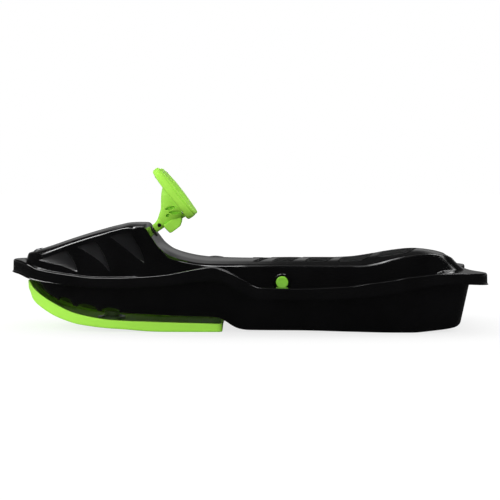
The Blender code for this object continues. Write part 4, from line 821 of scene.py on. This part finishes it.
# Hub: place along the axis, half width, and its top and bottom up the wheel
HUB_SECTIONS = (
    (0.0, 0.01, 0.01, -0.01), (0.01, 0.0103, 0.0108, -0.0103), (0.02, 0.0108, 0.015, -0.0108),
    (0.028, 0.015, 0.0205, -0.0116), (0.038, 0.0205, 0.0275, -0.013), (0.046, 0.026, 0.037, -0.015),
    (0.059, 0.036, 0.053, -0.018), (0.071, 0.0445, 0.064, -0.02), (0.0795, 0.048, 0.068, -0.022),
)
HUB_SIDES = 144
HUB_STEPS = 72
HUB_SQUARENESS = 0.82
# Slots in its sides: place along the axis and up the wheel, half length and height, degrees of lean
HUB_SLOTS = ((0.0586, 0.0156, 0.0125, 0.0034, -23), (0.061, 0.0019, 0.014, 0.0036, -37),
             (0.0438, 0.0062, 0.005, 0.003, -10))
HUB_SLOT_DEPTH = 0.009
HUB_SLOT_EDGE = 0.0009
# Side profile of the clamp cover under the hub: along the axis and up the wheel
CHIN = ((0.0215, -0.006), (0.0208, -0.013), (0.0228, -0.028), (0.0265, -0.0305), (0.05, -0.0305),
        (0.06, -0.024), (0.0655, -0.018), (0.068, -0.006))
CHIN_HALF_WIDTH = 0.021
CHIN_ROUND = 0.0025
CHIN_SEGMENTS = 4


def wheel_outline(inset=0.0, drop=0.0):
    """Outer outline of the wheel: a round-cornered yoke, wider at the top."""
    width = WHEEL_HALF_WIDTH - inset
    top = WHEEL_TOP - inset - drop
    low = WHEEL_LOW + inset
    right = [(0.0, top - 0.006), (width * 0.3, top - 0.005), (width * 0.52, top - 0.001),
             (width * 0.66, top - 0.0005), (width * 0.82, top - 0.006),
             (width * 0.95, top - 0.022), (width, top - 0.05), (width * 0.98, low + 0.06),
             (width * 0.88, low + 0.028), (width * 0.68, low + 0.006), (width * 0.4, low),
             (0.0, low)]
    return right + [(-x, y) for x, y in right[-2:0:-1]]


def grip_opening(side, inset=0.0):
    """Hand opening between the pad and the grip on one side."""
    outer = WHEEL_HALF_WIDTH - GRIP_WIDTH + inset
    inner = PAD_HALF_WIDTH - inset
    top = WHEEL_TOP - GRIP_WIDTH - OPENING_TOP_GAP + inset
    low = WHEEL_LOW + OPENING_RISE - inset
    points = [(inner, top - 0.014), (inner + 0.01, top), (outer - 0.014, top - 0.003),
              (outer, top - 0.022), (outer - 0.002, low + 0.026), (outer - 0.013, low + 0.006),
              (inner + 0.012, low), (inner, low + 0.012)]
    return [(side * x, y) for x, y in points]


def inward(loop, distance):
    """Loop moved towards its left side."""
    ahead = np.roll(loop, -1, 0) - np.roll(loop, 1, 0)
    ahead /= np.linalg.norm(ahead, axis=1)[:, None]
    return loop + distance * np.stack((-ahead[:, 1], ahead[:, 0]), 1)


def turned_left(loop, left):
    """Loop that runs anticlockwise where left is true, and clockwise elsewhere."""
    area = np.sum(loop[:, 0] * np.roll(loop[:, 1], -1) - np.roll(loop[:, 0], -1) * loop[:, 1])
    return loop if (area > 0) == left else loop[::-1]


def around(ring):
    """Pairs of neighbours round a closed ring."""
    return zip(ring, ring[1:] + ring[:1])


def wheel_piece(name, bm, slot):
    """Object of a mesh built in the column's frame, with even shading of its flat faces."""
    bmesh.ops.transform(bm, matrix=COLUMN, verts=bm.verts)
    mesh = bpy.data.meshes.new(name)
    bm.to_mesh(mesh)
    bm.free()
    mesh.materials.append(MATERIALS[slot])
    mesh.shade_smooth()
    item = placed(name, mesh, "steering")
    even = item.modifiers.new("even shading", "WEIGHTED_NORMAL")
    even.keep_sharp = True
    return item


def edge_rings(bm, loop, low, high, edge_round):
    """Rings of vertices up the rounded edge of a plate, joined by faces."""
    rings = []
    for face, side in ((low, -1), (high, 1)):
        for k in range(PLATE_ARC + 1):
            a = math.pi / 2 * (1 - k / PLATE_ARC if side < 0 else k / PLATE_ARC)
            reach = edge_round * (1 - math.cos(a))
            level = face - side * edge_round * (1 - math.sin(a))
            rings.append([bm.verts.new((x, y, level)) for x, y in inward(loop, reach)])
    for lower, upper in zip(rings, rings[1:]):
        for (a, b), (d, c) in zip(around(lower), around(upper)):
            bm.faces.new((a, b, c, d))
    return rings


def cut_flat_faces(bm):
    """Cut a plate's flat faces into a grid, so that they can bulge."""
    for reach, normal in ((WHEEL_HALF_WIDTH, Vector((1, 0, 0))), (WHEEL_TOP, Vector((0, 1, 0)))):
        count = int(reach / PLATE_GRID)
        for k in range(-count, count + 1):
            flat = [f for f in bm.faces
                    if max(v.co.z for v in f.verts) - min(v.co.z for v in f.verts) < FLAT]
            edges = {e for f in flat for e in f.edges}
            verts = {v for f in flat for v in f.verts}
            bmesh.ops.bisect_plane(bm, geom=[*verts, *edges, *flat], plane_no=normal,
                                   plane_co=normal * (k * PLATE_GRID + PLATE_GRID_SHIFT))


def plate_piece(name, loops, low, high, edge_round, slot, front=None, back=None):
    """Plate of one outline with openings and rounded edges, on the wheel."""
    bm = bmesh.new()
    lowest, highest = [], []
    for number, points in enumerate(loops):
        loop = turned_left(smooth_loop(points), left=number == 0)
        rings = edge_rings(bm, loop, low, high, edge_round)
        lowest += around(rings[0])
        highest += around(rings[-1])
    for pairs in (lowest, highest):
        bmesh.ops.triangle_fill(bm, edges=[bm.edges.get(pair) for pair in pairs],
                                use_dissolve=False)
    cut_flat_faces(bm)
    middle = (low + high) / 2
    for vertex in bm.verts:
        x, y, z = vertex.co
        shift = front if z > middle else back
        if shift:
            vertex.co.z += shift(x, y)
    bmesh.ops.recalc_face_normals(bm, faces=bm.faces)
    item = wheel_piece(name, bm, slot)
    item.data.set_sharp_from_angle(angle=SMOOTH_ANGLE)
    return item


def hub_rows():
    """Flared body from the column sleeve to the back of the wheel, flattened a little at its sides."""
    sections = np.array(HUB_SECTIONS)
    along = np.linspace(sections[0, 0], sections[-1, 0], HUB_STEPS)
    half, top, low = (curve(sections[:, (0, k)])(along)[:, None] for k in (1, 2, 3))
    turn = np.linspace(0, 2 * math.pi, HUB_SIDES, endpoint=False)
    cos, sin = (np.sign(part) * np.abs(part) ** HUB_SQUARENESS
                for part in (np.cos(turn), np.sin(turn)))
    x = half * cos
    y = (top + low) / 2 + (top - low) / 2 * sin
    z = np.broadcast_to(along[:, None], x.shape)
    for middle_z, middle_y, reach, half_height, angle in HUB_SLOTS:
        a = math.radians(angle)
        u = (z - middle_z) * math.cos(a) + (y - middle_y) * math.sin(a)
        v = -(z - middle_z) * math.sin(a) + (y - middle_y) * math.cos(a)
        lens = np.clip(1 - (u / reach) ** 2, 0, 1)
        inside = np.clip((half_height * lens - np.abs(v)) / HUB_SLOT_EDGE, 0, 1)
        x = x - np.sign(x) * HUB_SLOT_DEPTH * inside
    return np.stack((x, y, z), -1)


def add_hub():
    rows = hub_rows()
    faces = grid_faces(rows, closed=True).tolist()
    faces += [range(HUB_SIDES)[::-1], range((HUB_STEPS - 1) * HUB_SIDES, HUB_STEPS * HUB_SIDES)]
    vertices = [COLUMN @ Vector(v) for v in rows.reshape(-1, 3)]
    piece("wheel_hub", vertices, faces, "steering", "green_plastic")


def add_chin():
    """Rounded cover under the hub, over the column's clamp."""
    bm = bmesh.new()
    near, far = ([bm.verts.new((x, up, along)) for along, up in CHIN]
                 for x in (-CHIN_HALF_WIDTH, CHIN_HALF_WIDTH))
    bm.faces.new(near)
    bm.faces.new(far[::-1])
    for (a, b), (d, c) in zip(around(near), around(far)):
        bm.faces.new((d, c, b, a))
    bmesh.ops.recalc_face_normals(bm, faces=bm.faces)
    bmesh.ops.bevel(bm, geom=bm.edges[:], offset=CHIN_ROUND, segments=CHIN_SEGMENTS,
                    profile=0.5, affect="EDGES")
    wheel_piece("wheel_chin", bm, "green_plastic")


def add_wheel():
    bulge, lean, stand = curve(PAD_BULGE), curve(FACE_LEAN), curve(RIM_BACK)

    def face_shift(x, y):
        inside = eased((PAD_HALF_WIDTH + PAD_FADE - abs(x)) / (2 * PAD_FADE))
        return bulge(y) * inside + lean(y)

    loops = [wheel_outline(), grip_opening(1), grip_opening(-1)]
    shell = plate_piece("wheel_rim", loops, WHEEL_BACK, WHEEL_FRONT, WHEEL_ROUND,
                        "green_plastic", back=lambda x, y: stand(y))
    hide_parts("wheel_shell")
    loops = [wheel_outline(COVER_INSET, COVER_TOP_DROP), grip_opening(1, COVER_INSET),
             grip_opening(-1, COVER_INSET)]
    cover = plate_piece("wheel_face", loops, COVER_BACK, COVER_FRONT, COVER_ROUND, "green_plastic",
                        front=face_shift)
    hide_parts("wheel_cover")
    add_hub()
    add_chin()


RING_SIDES = 96
WIRE_SIDES = 16


def add_tow_ring():
    """Wire ring at the nose, as large as its solid."""
    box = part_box("tow_ring")
    wire = (box[1].y - box[0].y) / 2
    radius = (box[1].x - box[0].x) / 2 - wire
    turns = np.linspace(0, 2 * math.pi, WIRE_SIDES + 1)
    profile = np.stack((radius + wire * np.cos(turns), wire * np.sin(turns)), 1)
    place = Matrix.Translation((box[0] + box[1]) / 2) @ Matrix.Rotation(math.pi / 2, 4, "X")
    ring = turned_piece("pull_ring_wire", profile, place, "pull_ring", "zinc_steel",
                        sides=RING_SIDES)
    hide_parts("tow_ring")


def add_column_boss():
    """Round boss of the deck round the column guide."""
    profile = ((0.0118, -0.011), (0.0118, -0.0058), (0.0185, -0.0058), (0.02, -0.0066),
               (0.0208, -0.0082), (0.0212, -0.018), (0.023, -0.028), (0.0118, -0.028),
               (0.0118, -0.011))
    turned_piece("column_boss", profile, COLUMN, "hull", "black_plastic")


# Anti-slip fields on the seat: front and rear X at their sides. The lean sets their middle back.
TREADS = ((0.016, 0.034), (0.056, 0.108), (0.13, 0.188), (0.204, 0.276), (0.292, 0.376))
TREAD_LEAN = 0.3
TREAD_HALF_WIDTH = 0.078
TREAD_RISE = 0.0006
TREAD_SINK = 0.0002
# How far its corners are drawn in, how square it is, and the share of it that slopes at its edge
TREAD_CORNER = 0.82
TREAD_SQUARENESS = 6
TREAD_EDGE = 0.04
TREAD_POINTS = (61, 31)


def seat_height(x, y):
    """Top of the deck at points of the seat."""
    share = np.abs(y) / seat_edge_width(x)
    top, middle, edge = spine_top(x), seat_middle_height(x), seat_edge_top(x)
    beyond = (share - SEAT_CROWN_SHARE) / (1 - SEAT_CROWN_SHARE)
    return np.where(beyond < 0, top + (middle - top) * np.clip(share / SEAT_CROWN_SHARE, 0, 1),
                    middle + (edge - middle) * np.clip(beyond, 0, 1))


def drawn_in(along, other):
    """Square's coordinate moved in towards its round corners."""
    shrink = np.abs(other) ** TREAD_SQUARENESS * (1 - TREAD_CORNER ** 2)
    return along * np.sqrt(np.clip(1 - shrink, 0, 1))


def add_treads():
    v, u = np.meshgrid(*(np.linspace(-1, 1, count) for count in TREAD_POINTS))
    y = drawn_in(v, u) * TREAD_HALF_WIDTH
    edge = np.clip((1 - np.maximum(np.abs(u), np.abs(v))) / TREAD_EDGE, 0, 1)
    for number, (start, end) in enumerate(TREADS, 1):
        x = ((start + end) / 2 + drawn_in(u, v) * (end - start) / 2
             + (TREAD_HALF_WIDTH - np.abs(y)) * TREAD_LEAN)
        z = seat_height(x, y) + TREAD_RISE * edge - TREAD_SINK * (1 - edge)
        rows = np.stack((x, y, z), -1)
        piece(f"seat_tread_{number}", rows.reshape(-1, 3), grid_faces(rows), "hull",
              "black_plastic", "tread_plastic")


def paint_nodes():
    """CAD nodes that stay in view get the finish of their slot and smooth shading."""
    slots = {entry["node"]: entry["material_slot"] for entry in frame["record"]["subparts"]}
    for name, item in frame["nodes"].items():
        item.data.materials.clear()
        item.data.materials.append(MATERIALS[slots[name]])
        item.data.shade_smooth()
        item.data.set_sharp_from_angle(angle=NODE_SMOOTH_ANGLE)


# Glossy surroundings round the sled's length: share of the half turn from the far horizon over the
# top to the near one, and brightness. A narrow strip high on the far side draws the thin highlights.
SURROUNDINGS = (
    (0.0, 0.11), (0.022, 0.14), (0.046, 0.34), (0.068, 0.18), (0.095, 0.03), (0.5, 0.02), (1.0, 0.035),
)
STRIP = ((0.34, 0.0), (0.352, 1.0), (0.398, 1.0), (0.41, 0.0))
STRIP_LEVEL = 17.0
# The strip is faint just past the middle, so the seat's level edge stays dark and sloping ones shine
STRIP_MIDDLE = 0.045
STRIP_GAP = 0.05
STRIP_GATE = 7.0
STRIP_FAINT = 0.06
# It ends towards the tail and the nose: sideways directions where it is gone, and how fast it fades
STRIP_END = 0.47
STRIP_START = -0.74
STRIP_FADE = 8.0
# Brightness of the even light, from below to above, and how much more comes from the nose's side
EVEN_LEAN = 0.35
EVEN_LIGHT = ((0.0, 0.95), (0.42, 1.7), (0.5, 2.45), (0.62, 1.6), (0.8, 0.82), (1.0, 0.92))


def maths(tree):
    """Function that adds a math node to a node tree, for numbers and sockets."""
    def add(operation, *values):
        node = add_node(tree, "Math", dict(enumerate(values)))
        node.operation = operation
        return node.outputs[0]
    return add


def world_light():
    """White behind the object, an even light round it, and a dark room with a strip in reflections."""
    world = bpy.data.worlds.new("studio")
    bpy.context.scene.world = world
    world.use_nodes = True
    tree = world.node_tree
    tree.nodes.clear()
    path = tree.nodes.new("ShaderNodeLightPath").outputs
    place = tree.nodes.new("ShaderNodeTexCoord").outputs["Generated"]
    x, y, z = add_node(tree, "SeparateXYZ", {"Vector": place}).outputs
    add = maths(tree)
    share = add("DIVIDE", add("ARCTAN2", z, y), math.pi)
    aside = add("ABSOLUTE", add("SUBTRACT", x, STRIP_MIDDLE))
    gate = add("MULTIPLY", add("SUBTRACT", aside, STRIP_GAP), STRIP_GATE)
    gate = add("MINIMUM", add("MAXIMUM", gate, STRIP_FAINT), 1.0)
    inside = add("MINIMUM", add("SUBTRACT", STRIP_END, x), add("SUBTRACT", x, STRIP_START))
    short = add("MULTIPLY", inside, STRIP_FADE)
    short = add("MINIMUM", add("MAXIMUM", short, 0.0), 1.0)
    shine = add("MULTIPLY", add("MULTIPLY", gate, short), STRIP_LEVEL)
    strip = add("MULTIPLY", add_ramp(tree, share, STRIP), shine)
    room = add("ADD", add_ramp(tree, share, SURROUNDINGS), strip)
    even = add("MULTIPLY", add_ramp(tree, add("MULTIPLY_ADD", z, 0.5, 0.5), EVEN_LIGHT),
               add("MULTIPLY_ADD", x, -EVEN_LEAN, 1.0))

    def background(colour):
        return add_node(tree, "Background", {"Color": colour}).outputs[0]

    def mix(share, first, second):
        return add_node(tree, "MixShader", {0: share, 1: first, 2: second}).outputs[0]

    lit = mix(path["Is Glossy Ray"], background(even), background(room))
    seen = mix(path["Is Camera Ray"], lit, background((1, 1, 1, 1)))
    add_node(tree, "OutputWorld", {"Surface": seen})


# Floor: its bounce of light, the dark that gloss sees in it, and what lifts it to white in view
FLOOR_BOUNCE = 0.8
FLOOR_GLOSS = 0.035
FLOOR_VIEW = 0.28
FLOOR_GLOW = 0.76
FLOOR_REACH = 30.0
FLOOR_DROP = 0.0005


def add_floor():
    """Pale floor that keeps the sled's shadow."""
    mesh = bpy.data.meshes.new("floor")
    r = FLOOR_REACH
    mesh.from_pydata([(-r, -r, 0), (r, -r, 0), (r, r, 0), (-r, r, 0)], [], [(0, 1, 2, 3)])
    material = bpy.data.materials.new("floor")
    material.use_nodes = True
    tree = material.node_tree
    tree.nodes.clear()
    path = tree.nodes.new("ShaderNodeLightPath").outputs
    seen, gloss = path["Is Camera Ray"], path["Is Glossy Ray"]
    add = maths(tree)
    bounce = add("MULTIPLY", add("SUBTRACT", add("SUBTRACT", 1.0, seen), gloss), FLOOR_BOUNCE)
    albedo = add("MULTIPLY_ADD", seen, FLOOR_VIEW, bounce)
    glow = add("MULTIPLY_ADD", seen, FLOOR_GLOW, add("MULTIPLY", gloss, FLOOR_GLOSS))
    both = add_node(tree, "AddShader", {
        0: add_node(tree, "BsdfDiffuse", {"Color": albedo}).outputs[0],
        1: add_node(tree, "Emission", {"Strength": glow}).outputs[0]})
    add_node(tree, "OutputMaterial", {"Surface": both.outputs[0]})
    mesh.materials.append(material)
    floor = bpy.data.objects.new("floor", mesh)
    floor.location.z = -FLOOR_DROP
    bpy.context.scene.collection.objects.link(floor)


def add_camera():
    data = bpy.data.cameras.new("camera")
    data.sensor_width = SENSOR_MM
    data.lens = FOCAL_PIXELS / IMAGE_PIXELS * SENSOR_MM
    camera = bpy.data.objects.new("camera", data)
    back = Vector((0, -math.cos(CAMERA_ELEVATION), math.sin(CAMERA_ELEVATION)))
    camera.location = CAMERA_TARGET + CAMERA_DISTANCE * back
    camera.rotation_euler = (-back).to_track_quat("-Z", "Y").to_euler()
    bpy.context.scene.collection.objects.link(camera)
    bpy.context.scene.camera = camera


paint_nodes()
add_deck()
add_hull()
add_ski()
add_caps()
add_wheel()
add_tow_ring()
add_column_boss()
add_treads()
world_light()
add_floor()
add_camera()
bpy.context.scene.view_settings.view_transform = "Standard"
